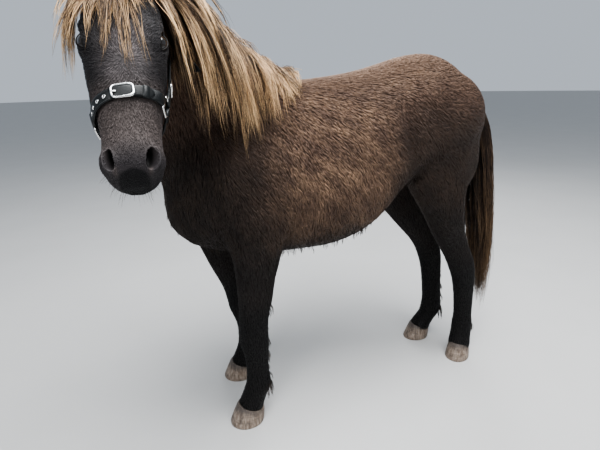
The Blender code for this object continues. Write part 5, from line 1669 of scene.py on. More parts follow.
# %% Put the headcollar on
tack, tack_runs, nose_front, nose_middle, end_run = headcollar()
strap_surface = surface_of(tack.values())
drape_surface = surface_of([skin, *(tack[name] for name in tack if name != "end_strap")])
for name, piece in list(tack.items()):
    if name == "billet":
        continue
    if name == "noseband":
        piece = joined([piece, tack["billet"]])
    if name.startswith(("ring", "buckle")):
        finished(piece, name, METAL, ["halter_" + name])
    else:
        finished(piece, "strap_" + name, LEATHER, ["halter_" + name])
    tack[name] = piece
END_PLACES = np.array([place for place, _ in end_run])
metal_eyelets = eyelets(nose_front, nose_middle, tack_runs["noseband"][1])
finished(metal_eyelets, "eyelets", METAL)
threads = Gathered()
for name, (run, width_way) in tack_runs.items():
    stitches(threads, run, width_way, STRAP_WIDTH / 2 - 0.0026, STRAP_THICKNESS * 0.985)
finished(threads.piece(), "strap_stitches", THREAD)
print("headcollar", len(tack), "pieces")

# %% [markdown]
# An eye is a wet ball: a dark iris with a level oval pupil under a clear dome. The lids are a soft rim laid
# over the ball, thick at the edge and folded once above, and they run out under the short coat. A strip
# made for them keeps the almond crisp, which a displaced skin could not.

# %% Eyes
EYE_SIDES = 48
EYE_RINGS = 24
CORNEA_HALF_ANGLE = math.radians(48)
CORNEA_RISE = 0.0013
PUPIL_HALF = (0.0062, 0.0036)


def eyeball(side):
    centre, axes = eye_place(side)
    rings = []
    for i in range(1, EYE_RINGS):
        angle = math.pi * i / EYE_RINGS
        bulge = CORNEA_RISE * max(0.0, math.cos(min(angle / CORNEA_HALF_ANGLE, 1) * math.pi / 2)) ** 0.8
        radius = EYE_RADIUS + bulge
        ring = []
        for k in range(EYE_SIDES):
            turn = 2 * math.pi * k / EYE_SIDES
            level = math.sin(angle)
            local = Vector((math.cos(turn) * level, math.sin(turn) * level, math.cos(angle)))
            ring.append(centre + axes @ (local * radius))
        rings.append(ring)
    return tube(rings)


def eye_material(side):
    """Dark brown iris with fine spokes round a level oval pupil, under a wet clear surface."""
    word = "left" if side < 0 else "right"
    made, r, shader = new_material("eye_" + word, 0.05, Coat_Weight=1.0, Coat_Roughness=0.02)
    along, over, _ = coordinates_in(r, r.place(), *eye_place(side))
    flat = r.add("CombineXYZ", {0: along, 1: over, 2: 0.0})
    from_middle = length_of(r, flat)
    oval_place = r.stretched(flat, (1 / PUPIL_HALF[0], 1 / PUPIL_HALF[1], 1))
    pupil = r.between(length_of(r, oval_place), 0.85, 1.1)
    spokes = r.noise(r.stretched(flat, (1500, 1500, 0)), 1.0, 2.0)
    iris = r.mix(spokes, (0.0042, 0.0022, 0.0015, 1), (0.0120, 0.0058, 0.0034, 1))
    rim = r.between(from_middle, 0.0125, 0.0155)
    colour = r.mix(rim, r.mix(pupil, (0.0015, 0.0015, 0.0018, 1), iris), (0.0050, 0.0040, 0.0038, 1))
    r.link(colour, shader["Base Color"])
    return made

# %% Lids
LID_STEPS = (
    # Share of the opening, height over the eyeball, share of the way down to the skin.
    (0.94, -0.0012, 0.0),
    (0.97, 0.0010, 0.0),
    (1.00, 0.0021, 0.0),
    (1.06, 0.0027, 0.0),
    (1.18, 0.0026, 0.0),
    (1.32, 0.0019, 0.10),
    (1.48, 0.0022, 0.35),
    (1.68, 0.0020, 0.70),
    (1.90, 0.0010, 1.0),
    (2.15, -0.0015, 1.0),
)
LID_COUNT = 72


def lids(side):
    """Both lids of an eye as one soft rim, from inside the opening out to the skin."""
    centre, axes = eye_place(side)
    rings = []
    for size, rise, down in LID_STEPS:
        ring = []
        for k in range(LID_COUNT):
            turn = 2 * math.pi * k / LID_COUNT
            c = math.cos(turn)
            s = math.sin(turn)
            upper = s * LID_UP[side] > 0
            spread = 1 + (size - 1) * (0.72 if abs(c) > 0.8 else 1.0)
            x = EYE_HALF[0] * c * spread
            y = EYE_HALF[1] * s * (1 - 0.35 * c * c) * size * (1.05 if upper else 0.95)
            high = EYE_RADIUS + rise + (0.0008 if upper and size > 1 else 0.0)
            flat = math.hypot(x, y)
            z = math.sqrt(max(high * high - flat * flat, 0.0)) if flat < high else 0.0
            on_ball = centre + axes @ Vector((x, y, z))
            if down > 0:
                start = centre + axes @ Vector((x, y, 0.06))
                hit, normal, _, _ = skin_surface.ray_cast(start, -axes.col[2])
                if hit:
                    on_ball = on_ball.lerp(hit + normal * rise, down)
            ring.append(on_ball)
        rings.append(ring)
    return tube(rings, capped=False)


# Which way of an eye's second axis is up on each side.
LID_UP = {side: math.copysign(1, (eye_place(side)[1].col[1]).dot(UP)) for side in (-1, 1)}


def lid_material():
    """Bare dark skin with fine creases that run round the eye, and a moist edge."""
    made, r, shader = new_material("lid_skin", 0.50, Specular_IOR_Level=0.28)
    place = r.place()
    mottle = r.noise(r.stretched(place, (300, 300, 300)), 1.0, 3.0)
    colour = r.mix(mottle, (0.0042, 0.0034, 0.0034, 1), (0.0110, 0.0088, 0.0086, 1))
    r.link(colour, shader["Base Color"])
    crease = r.noise(r.stretched(place, (700, 700, 2200)), 1.0, 3.0, 0.6)
    r.link(r.bump(crease, 0.45, 0.0005), shader["Normal"])
    return made


LID_SKIN = lid_material()
for side, word in SIDES:
    rim = lids(side)
    finished(eyeball(side), "eyeball_" + word, eye_material(side), ["eye_" + word])
    finished(rim, "eyelids_" + word, LID_SKIN)
    print("lids", word, len(rim.data.vertices), "points")

# %% [markdown]
# Ears are leaf-shaped cups. The shell is lofted from arcs that open forwards and outwards, closed to a tube
# at the root, and the coat grows on its back while long soft hair fills the hollow.

# %% Ears
EAR_LENGTH = 0.112
EAR_WALL = 0.0040

# Share of the ear's length, width, and half the angle that the wall covers, in degrees.
EAR_ROWS = (
    (-0.14, 0.030, 165),
    (0.03, 0.034, 160),
    (0.16, 0.044, 128),
    (0.34, 0.052, 104),
    (0.55, 0.050, 92),
    (0.75, 0.036, 84),
    (0.91, 0.018, 78),
    (1.00, 0.005, 70),
)
EAR_ARC = 25
EAR_STEPS = 34

# %% The ear's cup
def ear_axes(side):
    base = on_head(0.016, -0.006, side * 0.044)
    rise = (HEAD_AXES @ Vector((-0.84, 0.20, 0.38 * side))).normalized()
    opening = HEAD_AXES @ Vector((0, 0.80, 0.60 * side))
    opening = (opening - rise * opening.dot(rise)).normalized()
    return base, rise, opening, rise.cross(opening)


def ear(side):
    """The ear's shell: an outer and an inner wall that meet in a rounded rim."""
    base, rise, opening, across = ear_axes(side)
    rings = []
    for t, width, spread in eased_ear():
        centre = base + rise * EAR_LENGTH * t + opening * 0.012 * t * t - across * 0.010 * t * t * side
        radius = width / 2
        wall = min(EAR_WALL, radius * 0.55)
        arc = [math.radians(spread * (2 * k / (EAR_ARC - 1) - 1)) for k in range(EAR_ARC)]
        outer = []
        inner = []
        for k, angle in enumerate(arc):
            way = across * math.sin(angle) - opening * math.cos(angle)
            edge = min(k, EAR_ARC - 1 - k) / 3
            thin = 1 - 0.6 * max(0.0, 1 - edge) ** 2
            outer.append(centre + way * (radius - wall / 2 * (1 - thin)))
            inner.append(centre + way * (radius - wall / 2 - wall / 2 * thin))
        rings.append(outer + inner[::-1])
    bm = bmesh.new()
    made = [[bm.verts.new(p) for p in ring] for ring in rings]
    count = len(rings[0])
    for lower, upper in zip(made, made[1:]):
        for k in range(count):
            bm.faces.new((lower[k], lower[(k + 1) % count], upper[(k + 1) % count], upper[k]))
    for ring in (made[0], made[-1]):
        for k in range(count // 2 - 1):
            bm.faces.new((ring[k], ring[k + 1], ring[count - 2 - k], ring[count - 1 - k]))
    return object_of(mesh_of(bm))


def eased_ear():
    """The ear's rows with more between them."""
    table = np.array(EAR_ROWS, float)
    return curve_rows(table, table[:, 0], np.linspace(table[0, 0], table[-1, 0], EAR_STEPS))


ears = {word: ear(side) for side, word in SIDES}
for piece in ears.values():
    unwrap(piece)
ear_grounds = {word: Ground(piece) for word, piece in ears.items()}
print("ears", EAR_LENGTH, "long")

# %% [markdown]
# Hooves are horn: tan and brown with grey streaks that run down from the coronet, crossed by growth rings,
# and darker towards the coronet than near the ground. The rings are in the form itself, a few tenths of a
# millimetre high.

# %% Hooves
def horn_material():
    made, r, shader = new_material("horn", 0.58, Specular_IOR_Level=0.4)
    place = r.place()
    z = r.add("SeparateXYZ", {0: place}, out=2)
    streaks = r.noise(r.stretched(place, (190, 190, 14)), 1.0, 4.0, 0.6)
    bands = r.noise(r.stretched(place, (10, 10, 330)), 1.0, 2.0)
    dirt = r.noise(r.stretched(place, (45, 45, 45)), 1.0, 4.0, 0.7)
    colour = r.mix(r.between(streaks, 0.30, 0.70), (0.105, 0.074, 0.054, 1), (0.290, 0.235, 0.190, 1))
    colour = r.mix(r.times(r.between(bands, 0.45, 0.7), 0.4), colour, (0.070, 0.056, 0.047, 1))
    # Darker towards the coronet, paler near the ground.
    colour = r.mix(r.between(z, 0.055, 0.030, 0.80, 0.0), colour, (0.040, 0.034, 0.032, 1))
    colour = r.mix(r.times(r.between(dirt, 0.45, 0.75), 0.70), colour, (0.050, 0.042, 0.037, 1))
    r.link(colour, shader["Base Color"])
    r.link(r.between(dirt, 0.3, 0.8, 0.42, 0.75), shader["Roughness"])
    height = r.math("ADD", r.times(bands, 0.8), r.times(streaks, 0.5))
    r.link(r.bump(height, 0.5, 0.0007), shader["Normal"])
    return made


HOOF_SIDES = 72
HOOF_STEPS = 34


def hoof_rows():
    """The hoof's rows with growth rings between them and a rounded edge at the ground."""
    table = np.array(HOOF_ROWS)
    rows = []
    for t in np.linspace(0, 1, HOOF_STEPS):
        length, width = (float(np.interp(t, table[:, 0], table[:, k])) for k in (1, 2))
        ridge = 0.00028 * math.sin(t * 46) + 0.00018 * math.sin(t * 83 + 1)
        ridge *= min(1, t * 8) * min(1, (1 - t) * 6)
        rows.append((t, length + ridge, width + ridge))
    return rows


HORN = horn_material()
for name in LEGS:
    hoof = tube(hoof_rings(name, hoof_rows(), HOOF_SIDES))
    finished(hoof, "horn_" + name, HORN, [name + "_hoof"])
    hoof.data.set_sharp_from_angle(angle=math.radians(50))
    print("hoof", name, [round(v, 3) for v in hoof.dimensions])

# %% [markdown]
# Long hair is drawn in two steps. A guide is the path of one lock: it leaves its root, bends over by its
# own weight and comes to lie on whatever is under it, coat or strap. Then each guide is filled with thin
# three-sided strands that spread from its root and gather again towards its tip, as wet hair does.

# %% Guides for locks
def draped(root, heading, length, lift, weight, steps=9, sink=0.010, floor=0.012):
    """The path of a lock and the ways out along it; lift is its height over what it lies on, one number or
    a function of the share of its length."""
    rise = lift if callable(lift) else lambda share: lift * min(1, 0.4 + 1.2 * share)
    points = [root - heading * sink]
    normal = drape_surface.find_nearest(root)[1]
    outs = [normal]
    place = root.copy()
    way = heading.normalized()
    stride = length / steps
    for step in range(1, steps + 1):
        bend = 1 - (1 - weight) ** (7 / steps)
        way = (way * (1 - bend) + DOWN * bend).normalized()
        ahead = place + way * stride
        for _ in range(2):
            nearest, normal, _, _ = drape_surface.find_nearest(ahead)
            want = rise(step / steps)
            if (ahead - nearest).dot(normal) < want:
                ahead = nearest + normal * want
        ahead.z = max(ahead.z, floor)
        way = (ahead - place).normalized()
        points.append(ahead)
        outs.append(normal)
        place = ahead
    return np.array(points), np.array(outs)


def even_path(table, count):
    """A path's rows resampled evenly and eased."""
    for _ in range(2):
        table[1:-1] = (table[:-2] + 2 * table[1:-1] + table[2:]) / 4
    walked = walked_along(table)
    even = np.linspace(0, walked[-1], count)
    return np.stack([np.interp(even, walked, table[:, k]) for k in range(3)], 1), walked

# %% [markdown]
# A strand is a thin prism of three sides that tapers to a point. All the strands of one guide are worked
# out together as arrays, which keeps ten thousand of them quick. Each lock has its own tone, and each strand
# differs a little from it.

# %% Fill guides with strands
STRAND_ROWS = 10
STRAND_CORNERS = np.radians((210, 330, 90))


def strand_faces(rows):
    """The triangles of one strand: its sides, its root cap and its tip."""
    faces = []
    for i in range(rows - 2):
        for k in range(3):
            a, b = 3 * i + k, 3 * i + (k + 1) % 3
            faces += [(a, b, b + 3), (a, b + 3, a + 3)]
    last = 3 * (rows - 2)
    tip = 3 * (rows - 1)
    faces += [(last, last + 1, tip), (last + 1, last + 2, tip), (last + 2, last, tip), (0, 2, 1)]
    return np.array(faces)


def strands(name, guides, rng, width=0.0011, rows=STRAND_ROWS, gather=0.70, shortest=0.70, tousle=0.0022):
    """One mesh of strands. A guide is (points, outs, spread, depth, count), and may end with a change to
    its tone. One strand in nine strays."""
    all_points = []
    all_uvs = []
    all_tones = []
    all_along = []
    per = 3 * (rows - 1) + 1
    share = np.linspace(0, 1, rows)
    swell = np.minimum(1, 0.55 + 1.3 * share) * (1 - gather * ease_between(share, 0.45, 1.0))
    for points, outs, spread, depth, count, *toned in guides:
        path, _ = even_path(points.copy(), 24)
        out, _ = even_path(outs.copy(), 24)
        run = unit(np.gradient(path, axis=0))
        across = unit(np.cross(run, out))
        out = np.cross(across, run)
        aside = np.clip(rng.normal(0, 0.48, count), -1.1, 1.1)
        high = rng.uniform(-0.5, 0.5, count)
        ends = rng.uniform(shortest, 1.0, count)
        at = share[None] * ends[:, None] * (len(path) - 1)
        low = np.minimum(at.astype(int), len(path) - 2)
        part = (at - low)[:, :, None]
        place = path[low] * (1 - part) + path[low + 1] * part
        wide = across[low]
        up = out[low]
        phase = rng.uniform(0, 6.28, (2, count))[:, :, None]
        beat = rng.uniform(5, 11, (2, count))[:, :, None]
        stray = np.where(rng.random(count) < 0.11, rng.uniform(1.8, 3.6, count), 1.0)
        amount = (tousle * stray)[:, None] * share[None]
        sway = amount * np.sin(beat[0] * share[None] + phase[0])
        lift = amount * 0.6 * np.sin(beat[1] * share[None] + phase[1])
        place = place + wide * (aside[:, None] * spread * swell[None] + sway)[:, :, None]
        place = place + up * (high[:, None] * depth * swell[None] + lift)[:, :, None]
        half = width / 2 * rng.uniform(0.7, 1.3, count)[:, None] * (1 - 0.72 * share[None] ** 3)
        rings = place[:, : rows - 1, None, :] + (
            wide[:, : rows - 1, None, :] * np.cos(STRAND_CORNERS)[None, None, :, None]
            + up[:, : rows - 1, None, :] * np.sin(STRAND_CORNERS)[None, None, :, None]
        ) * half[:, : rows - 1, None, None]
        verts = np.concatenate([rings.reshape(count, -1, 3), place[:, -1:, :]], 1)
        all_points.append(verts.reshape(-1, 3))
        root_uv = ground.uv_at(Vector(points[1])) + rng.uniform(-0.012, 0.012, (count, 2))
        side = np.tile(np.array((-1, 1, 0.0)), rows - 1)
        up_uv = np.repeat(share[: rows - 1] * 2 - 1, 3)
        patch = np.concatenate([np.stack([side, up_uv], 1), [(0, 1)]]) * TUFT_PATCH
        all_uvs.append((root_uv[:, None, :] + patch[None]).reshape(-1, 2))
        lock_tone = rng.uniform(0.16, 0.84) + sum(toned)
        tone = np.clip(lock_tone + rng.normal(0, 0.27, count), 0, 1)
        all_tones.append(np.repeat(tone, per))
        along = np.concatenate([np.repeat(share[: rows - 1], 3), [1.0]])
        all_along.append((along[None] * ends[:, None]).ravel())
    points = np.concatenate(all_points)
    count = len(points) // per
    faces = (np.arange(count)[:, None, None] * per + strand_faces(rows)[None]).reshape(-1, 3)
    uvs = np.clip(np.concatenate(all_uvs), 0, 1)
    mesh = mesh_from_arrays(name, points, faces, uvs, np.concatenate(all_tones), np.concatenate(all_along))
    print(name, count, "strands", len(faces), "triangles")
    return object_of(mesh, name)

# %% [markdown]
# A Shetland pony's mane is thick and long. It roots all along the crest and falls to the left here, longest
# behind the ears and short at the withers. Five layers at different heights give it its depth.

# %% Mane
MANE_LENGTHS = (
    (0.00, 0.37),
    (0.12, 0.38),
    (0.32, 0.39),
    (0.50, 0.33),
    (0.68, 0.24),
    (0.85, 0.14),
    (1.00, 0.09),
)


def crest_point(t):
    """The crest at a share of its length, from the poll to the withers, and the way the neck runs there."""
    rows = np.array([row[:3] for row in NECK])[::-1]
    walked = walked_along(rows)
    before, here, after = (vector_at(rows, walked, walked[-1] * t + step) for step in (-0.02, 0, 0.02))
    return here, (after - before).normalized()


def mane_place(t, spread):
    """Where a lock roots beside the crest, the way to the pony's left there, and the way the neck runs."""
    point, run = crest_point(t)
    left = run.cross(UP).normalized()
    if left.y > 0:
        left = -left
    return skin_surface.find_nearest(point + UP * 0.03 + left * spread)[0], left, run


def mane_length(t):
    return float(np.interp(t, [row[0] for row in MANE_LENGTHS], [row[1] for row in MANE_LENGTHS]))


def mane_height(t, layer, layers):
    """A layer's height over what it lies on, lower towards the withers and towards its tips."""
    ease = min(1, 0.3 + 2.2 * (1 - t))
    share_up = (layer + 0.6) / layers
    return lambda share: 0.003 + (0.038 - 0.017 * share) * ease * share_up


def under_strap(points):
    """Keeps a lock behind the loose strap end, which lies on top of the mane."""
    front = np.array(HEAD_AXES.col[1])
    for i, point in enumerate(points):
        offsets = point - END_PLACES
        near = offsets[np.argmin(np.linalg.norm(offsets, axis=1))]
        share = 1 - ease_between(np.linalg.norm(near), 0.022, 0.042)
        points[i] -= front * max(0.0, near @ front + 0.013) * share
    return points

# %% Locks of the mane
MANE_LAYERS = 5
MANE_PER_LAYER = 25
POLL_LOCKS = 20


def mane_guides(rng):
    """Locks all along the crest in layers, and some by the ears that fall close beside the cheek."""
    guides = []
    for layer in range(MANE_LAYERS):
        for i in range(MANE_PER_LAYER):
            t = 0.02 + 0.90 * (i + rng.uniform(-0.5, 0.5) + layer / MANE_LAYERS) / MANE_PER_LAYER
            surface, left, run = mane_place(max(t, 0.0), rng.uniform(-0.012, 0.012))
            heading = (UP * (0.5 - 0.45 * t) + left * 0.8 - run * rng.uniform(-0.25, 0.40)).normalized()
            length = mane_length(t) * rng.uniform(0.62, 1.10)
            points, outs = draped(surface, heading, length, mane_height(t, layer, MANE_LAYERS),
                                  rng.uniform(0.30, 0.44), sink=0.004)
            guides.append((under_strap(points), outs, rng.uniform(0.010, 0.020), 0.009, 28))
    for i in range(POLL_LOCKS):
        surface, left, run = mane_place(rng.uniform(0.02, 0.10), rng.uniform(0.000, 0.024))
        heading = (left * 0.9 - run * rng.uniform(-0.3, 0.25) + UP * 0.15).normalized()
        high = rng.uniform(0.003, 0.014)
        length = rng.uniform(0.20, 0.36)
        points, outs = draped(surface, heading, length, high, rng.uniform(0.34, 0.48), sink=0.004)
        guides.append((under_strap(points), outs, rng.uniform(0.007, 0.013), 0.006, 22, -0.30))
    return guides


MANE_ROOT = (0.0160, 0.0100, 0.0075, 1)
MANE_LENGTH_BROWN = (0.1050, 0.0650, 0.0430, 1)
MANE_TIP_GOLD = (0.6400, 0.4350, 0.2450, 1)
MANE_HAIR = strand_material("mane_hair", MANE_ROOT, MANE_LENGTH_BROWN, MANE_TIP_GOLD, 0.90)
rng = np.random.default_rng(SEED)
mane = strands("mane", mane_guides(rng), rng, width=0.0010, rows=9, shortest=0.55, tousle=0.0048)

# %% [markdown]
# The forelock grows between the ears and fans out over the forehead and brows. Its locks are of uneven
# length, and some fall outside the right eye.

# %% Forelock
SIDE_LOCKS = 12
FORELOCK_LAYERS = 5
FORELOCK_PER_LAYER = 12


def forelock_guides(rng):
    """Locks from between the ears that fan down over the forehead and brows, each of its own length."""
    guides = []
    for layer in range(FORELOCK_LAYERS):
        for i in range(FORELOCK_PER_LAYER):
            share = (i + rng.uniform(0.1, 0.9)) / FORELOCK_PER_LAYER * 2 - 1
            surface = skin_surface.find_nearest(on_head(0.010 + 0.004 * layer, 0.05, share * 0.030))[0]
            fan = HEAD_AXES @ Vector((0.62, 0.60, 1.10 * share + rng.uniform(-0.16, 0.16)))
            spare = 0.50 if share < -0.30 else 1
            length = rng.uniform(0.115, 0.215) * (1 - 0.10 * abs(share)) * spare
            high = 0.003 + 0.0045 * layer + 0.030 * max(0, share - 0.25)
            points, outs = draped(surface, fan.normalized(), length, high, 0.34, sink=0.004)
            guides.append((points, outs, rng.uniform(0.006, 0.012), 0.005, round(20 * spare)))
    for i in range(SIDE_LOCKS):
        surface = skin_surface.find_nearest(on_head(rng.uniform(-0.004, 0.030), 0.01, 0.060))[0]
        fan = HEAD_AXES @ Vector((0.30, rng.uniform(0.0, 0.5), 1.0))
        length = rng.uniform(0.13, 0.20)
        points, outs = draped(surface, fan.normalized(), length, rng.uniform(0.012, 0.036), 0.42)
        guides.append((points, outs, rng.uniform(0.006, 0.011), 0.005, 18))
    return guides


forelock = strands("forelock", forelock_guides(rng), rng, width=0.0009, shortest=0.55, tousle=0.0034)

# %% [markdown]
# The tail hangs from a fleshy dock that leaves the croup level and bends down. The outer locks follow the
# dock, and the inner ones start within them and fill the tail.

# %% Tail
TAIL_LINE = ((0.90, 0.440), (0.76, 0.468), (0.62, 0.490), (0.50, 0.508), (0.36, 0.528), (0.13, 0.534))


# The dock leaves the croup level and bends down: x, height, and how far it has bent, in radians.
DOCK_LINE = ((0.374, 0.892, 0.0), (0.402, 0.897, 0.25), (0.428, 0.884, 0.75), (0.446, 0.854, 1.15),
             (0.456, 0.820, 1.35))


def round_the_dock(way):
    """The start of an outer lock, which comes out of the croup and bends down with the dock."""
    points = []
    outs = []
    for i, (x, z, bent) in enumerate(DOCK_LINE):
        out = Vector((way.x * math.sin(bent), way.y, way.x * math.cos(bent)))
        points.append(tuple(Vector((x, 0, z)) + out * (0.018 + 0.006 * i)))
        outs.append(tuple(out))
    return points, outs


TAIL_LOCKS = 96
TAIL_STEPS = 10
TAIL_HALF_WIDTH = 0.056
TAIL_HALF_DEPTH = 0.042


def tail_guides(rng):
    """Long hair that leaves the dock all the way down it and hangs to ragged tips."""
    guides = []
    for i in range(TAIL_LOCKS):
        layer = i % 3
        round_by = rng.uniform(-2.3, 2.3)
        way = Vector((math.cos(round_by), math.sin(round_by), 0))
        height = (0.64, 0.76, 0.77)[layer] + rng.uniform(-0.06, 0.02)
        end = rng.choice((rng.uniform(0.10, 0.18), rng.uniform(0.14, 0.36)))
        out = (0.45, 0.74, 1.0)[layer]
        points, outs = round_the_dock(way) if layer == 2 else ([], [])
        drift = rng.uniform(-0.014, 0.014)
        for step in range(TAIL_STEPS):
            t = step / (TAIL_STEPS - 1)
            z = height + (end - height) * t
            middle = float(np.interp(-z, [-row[0] for row in TAIL_LINE], [row[1] for row in TAIL_LINE]))
            full = out * (1 if step or layer == 2 else 0.45)
            half = TAIL_HALF_WIDTH * (1 - 0.25 * t * t) * full
            deep = TAIL_HALF_DEPTH * (1 - 0.35 * t * t) * full
            deep *= 1 + 0.4 * (1 - t) ** 2 if way.x < 0 else 1
            bend = 0.013 * t * math.sin(6 * t + i)
            points.append((middle + way.x * deep + 0.6 * bend, way.y * half + drift * t + bend, z))
            outs.append(tuple(way))
        guides.append((np.array(points), np.array(outs), rng.uniform(0.010, 0.016), 0.006, 22))
    return guides


TAIL_HAIR = strand_material("tail_hair", (0.014, 0.0100, 0.0088, 1), (0.034, 0.022, 0.017, 1),
                            (0.260, 0.165, 0.090, 1), 0.50)
tail = strands("tail", tail_guides(rng), rng, width=0.0011, rows=11, gather=0.62, shortest=0.66,
               tousle=0.0070)

# %% [markdown]
# Cold-weather ponies carry longer hair behind the fetlocks and cannons, at the elbows and under the belly.
# Whiskers and lashes are single stiff hairs, made in the same way with a very small spread.

# %% Hair behind the fetlocks
FETLOCK_LOCKS = 9
FRINGE_LOCKS = 17


def fetlock_guides(rng):
    """The tuft that fans round behind each fetlock."""
    guides = []
    for name in LEGS:
        for i in range(FETLOCK_LOCKS):
            axis, turn = leg_axis(name, 0.128 - 0.012 * rng.random())
            round_by = math.radians(-64 + 16 * i)
            way = turn @ Vector((math.cos(round_by), math.sin(round_by), 0))
            surface = skin_surface.find_nearest(axis + way * 0.06)[0]
            heading = (way * 0.55 + DOWN).normalized()
            points, outs = draped(surface, heading, rng.uniform(0.040, 0.056), 0.004 + 0.006 * (i % 2), 0.35,
                                  steps=5, sink=0.006, floor=0.016)
            guides.append((points, outs, 0.008, 0.005, 14))
    return guides


def fringe_guides(rng):
    """Longer hair down the back of the cannons."""
    guides = []
    for name in LEGS:
        reach = 0.24 if name.startswith("fore") else 0.16
        for i in range(FRINGE_LOCKS):
            height = 0.135 + reach * (i + rng.random()) / FRINGE_LOCKS
            axis, turn = leg_axis(name, height)
            way = turn @ Vector((1, rng.uniform(-0.45, 0.45), 0)).normalized()
            surface = skin_surface.find_nearest(axis + way * 0.06)[0]
            heading = (way * rng.uniform(0.35, 0.75) + DOWN).normalized()
            length = rng.uniform(0.026, 0.042)
            points, outs = draped(surface, heading, length, rng.uniform(0.004, 0.009), 0.30,
                                  steps=5, sink=0.005, floor=0.016)
            guides.append((points, outs, 0.007, 0.004, 9))
    return guides

# %% Hair under the belly, whiskers and lashes
WHISKERS = 64
LASHES = 22


def belly_guides(rng):
    """Longer hair that hangs under the belly, at the elbows and down the front of the chest."""
    def density(places, normals):
        x, _, z = places.T
        under = ease_between(-normals[:, 2], 0.45, 0.75) * ease_between(z, 0.44, 0.50)
        under *= (x > -0.45) * (x < 0.10)
        chest = (1 - ease_between(x, -0.56, -0.50)) * (z < 0.92) * (z > 0.50)
        return 1100.0 * under * (z < 0.66) + 700.0 * chest * (1 - head_share(places))
    guides = []
    for place, normal in zip(*ground.roots(density, rng)[:2]):
        lying = Vector(lie(place[None], normal[None])[0])
        heading = (lying + Vector(normal) * rng.uniform(0.2, 0.6) + DOWN * 0.3).normalized()
        length = rng.uniform(0.018, 0.036)
        points, outs = draped(Vector(place), heading, length, rng.uniform(0.002, 0.007), 0.30,
                              steps=5, sink=0.004)
        guides.append((points, outs, 0.006, 0.004, 6))
    return guides


def whisker_guides(rng):
    """Stiff single hairs round the lips, the chin and under the nostrils."""
    guides = []
    for _ in range(WHISKERS):
        angle = rng.uniform(-2.6, 0.35)
        way = HEAD_AXES @ Vector((rng.uniform(0.1, 0.9), math.sin(angle), math.cos(angle)))
        start = on_head(rng.uniform(0.345, 0.392), rng.uniform(-0.060, -0.015), 0)
        hit, normal, _, _ = skin_surface.ray_cast(start, way.normalized())
        if hit is None:
            continue
        heading = (normal + HEAD_AXES.col[0] * 0.35).normalized()
        points, outs = draped(hit, heading, rng.uniform(0.016, 0.034), 0.002, 0.10, steps=5, sink=0.003)
        guides.append((points, outs, 0.0005, 0.0005, 1))
    return guides


def lash_guides(rng):
    """Lashes on the upper lids."""
    guides = []
    for side in (-1, 1):
        centre, axes = eye_place(side)
        for k in range(LASHES):
            turn = math.pi * (0.12 + 0.76 * k / (LASHES - 1))
            c, s = math.cos(turn), math.sin(turn) * LID_UP[side]
            flat = Vector((EYE_HALF[0] * c, EYE_HALF[1] * s * (1 - 0.35 * c * c), 0))
            flat.z = math.sqrt((EYE_RADIUS + 0.0020) ** 2 - flat.length_squared)
            root = centre + axes @ flat
            heading = (axes.col[2] + axes.col[1] * s * 0.9 + axes.col[0] * c * 0.3).normalized()
            points = [root + heading * d for d in np.linspace(-0.001, rng.uniform(0.007, 0.012), 6)]
            guides.append((np.array(points), np.array([axes.col[2]] * 6), 0.0006, 0.0006, 2))
    return guides


FETLOCK_HAIR = strand_material("fetlock_hair", (0.007, 0.005, 0.004, 1), (0.016, 0.011, 0.008, 1),
                               (0.060, 0.036, 0.020, 1), 0.5)
fetlocks = strands("fetlock_hair", fetlock_guides(rng) + fringe_guides(rng), rng, width=0.0009, rows=7)
belly = strands("belly_hair", belly_guides(rng), rng, width=0.0009, rows=6)
lashes = strands("lashes", lash_guides(rng), rng, width=0.0005, rows=5, tousle=0.0003)
whiskers = strands("whiskers", whisker_guides(rng), rng, width=0.00045, rows=6, tousle=0.0010)
WHISKER_HAIR = strand_material("whisker_hair", (0.03, 0.025, 0.022, 1), (0.10, 0.085, 0.07, 1),
                               (0.20, 0.17, 0.14, 1), 0.6)

# %% [markdown]
# The short coat is what the eye reads first. Its length, width and density differ by region: fine and short
# on the face, longest under the belly, and none inside the nostrils, over the eyes or under the straps.

# %% Cover the body with tufts
def hair_length(points, normals):
    """The coat's length: short on the face, long under the belly, on the chest and behind the legs."""
    x, _, z = points.T
    places = head_places(points)
    low = 1 - ease_between(z, 0.40, 0.56)
    under = ease_between(-normals[:, 2], 0.1, 0.7) * ease_between(z, 0.40, 0.50)
    front = (1 - ease_between(x, -0.52, -0.42)) * (1 - ease_between(z, 0.78, 0.92))
    behind = ease_between(normals[:, 0], 0.1, 0.7)
    trunk = 0.028 + 0.012 * np.maximum(under, front)
    leg = 0.013 + 0.010 * behind
    body = trunk * (1 - low) + leg * low
    jaw = ease_between(-places[:, 1], 0.08, 0.15)
    face = 0.0095 + 0.008 * jaw - 0.0050 * ease_between(places[:, 0], 0.30, 0.37)
    share = head_share(points)
    return body * (1 - share) + face * share


def bare(points):
    """1 where no coat grows: inside the nostrils and mouth, and over the eyes."""
    none = np.zeros(len(points), bool)
    for side in (-1, 1):
        centre, axes = nostril_place(side)
        local = places_in(points, centre, axes) / np.array(NOSTRIL_RADII[side])
        none |= (np.hypot(local[:, 0], local[:, 1]) < 0.98) & (np.abs(local[:, 2]) < 1.4)
        centre, axes = eye_place(side)
        local = places_in(points, centre, axes)
        flat = np.hypot(local[:, 0] / EYE_HALF[0], local[:, 1] / EYE_HALF[1])
        none |= (flat < 1.42) & (np.abs(local[:, 2]) < 0.04)
    none |= points[:, 2] < 0.040
    return none


EAR_HAIR_LOCKS = 26
STRAP_CLEARANCE = 0.0042


def near_surface(points, tree, reach):
    return np.array([tree.find_nearest(Vector(p), reach)[0] is not None for p in points], bool)


def face_variety(points):
    """How much the tufts' tones differ: most round the whorl, least on the nose and muzzle."""
    return 0.62 - 0.42 * ease_between(head_places(points)[:, 0], 0.225, 0.275)


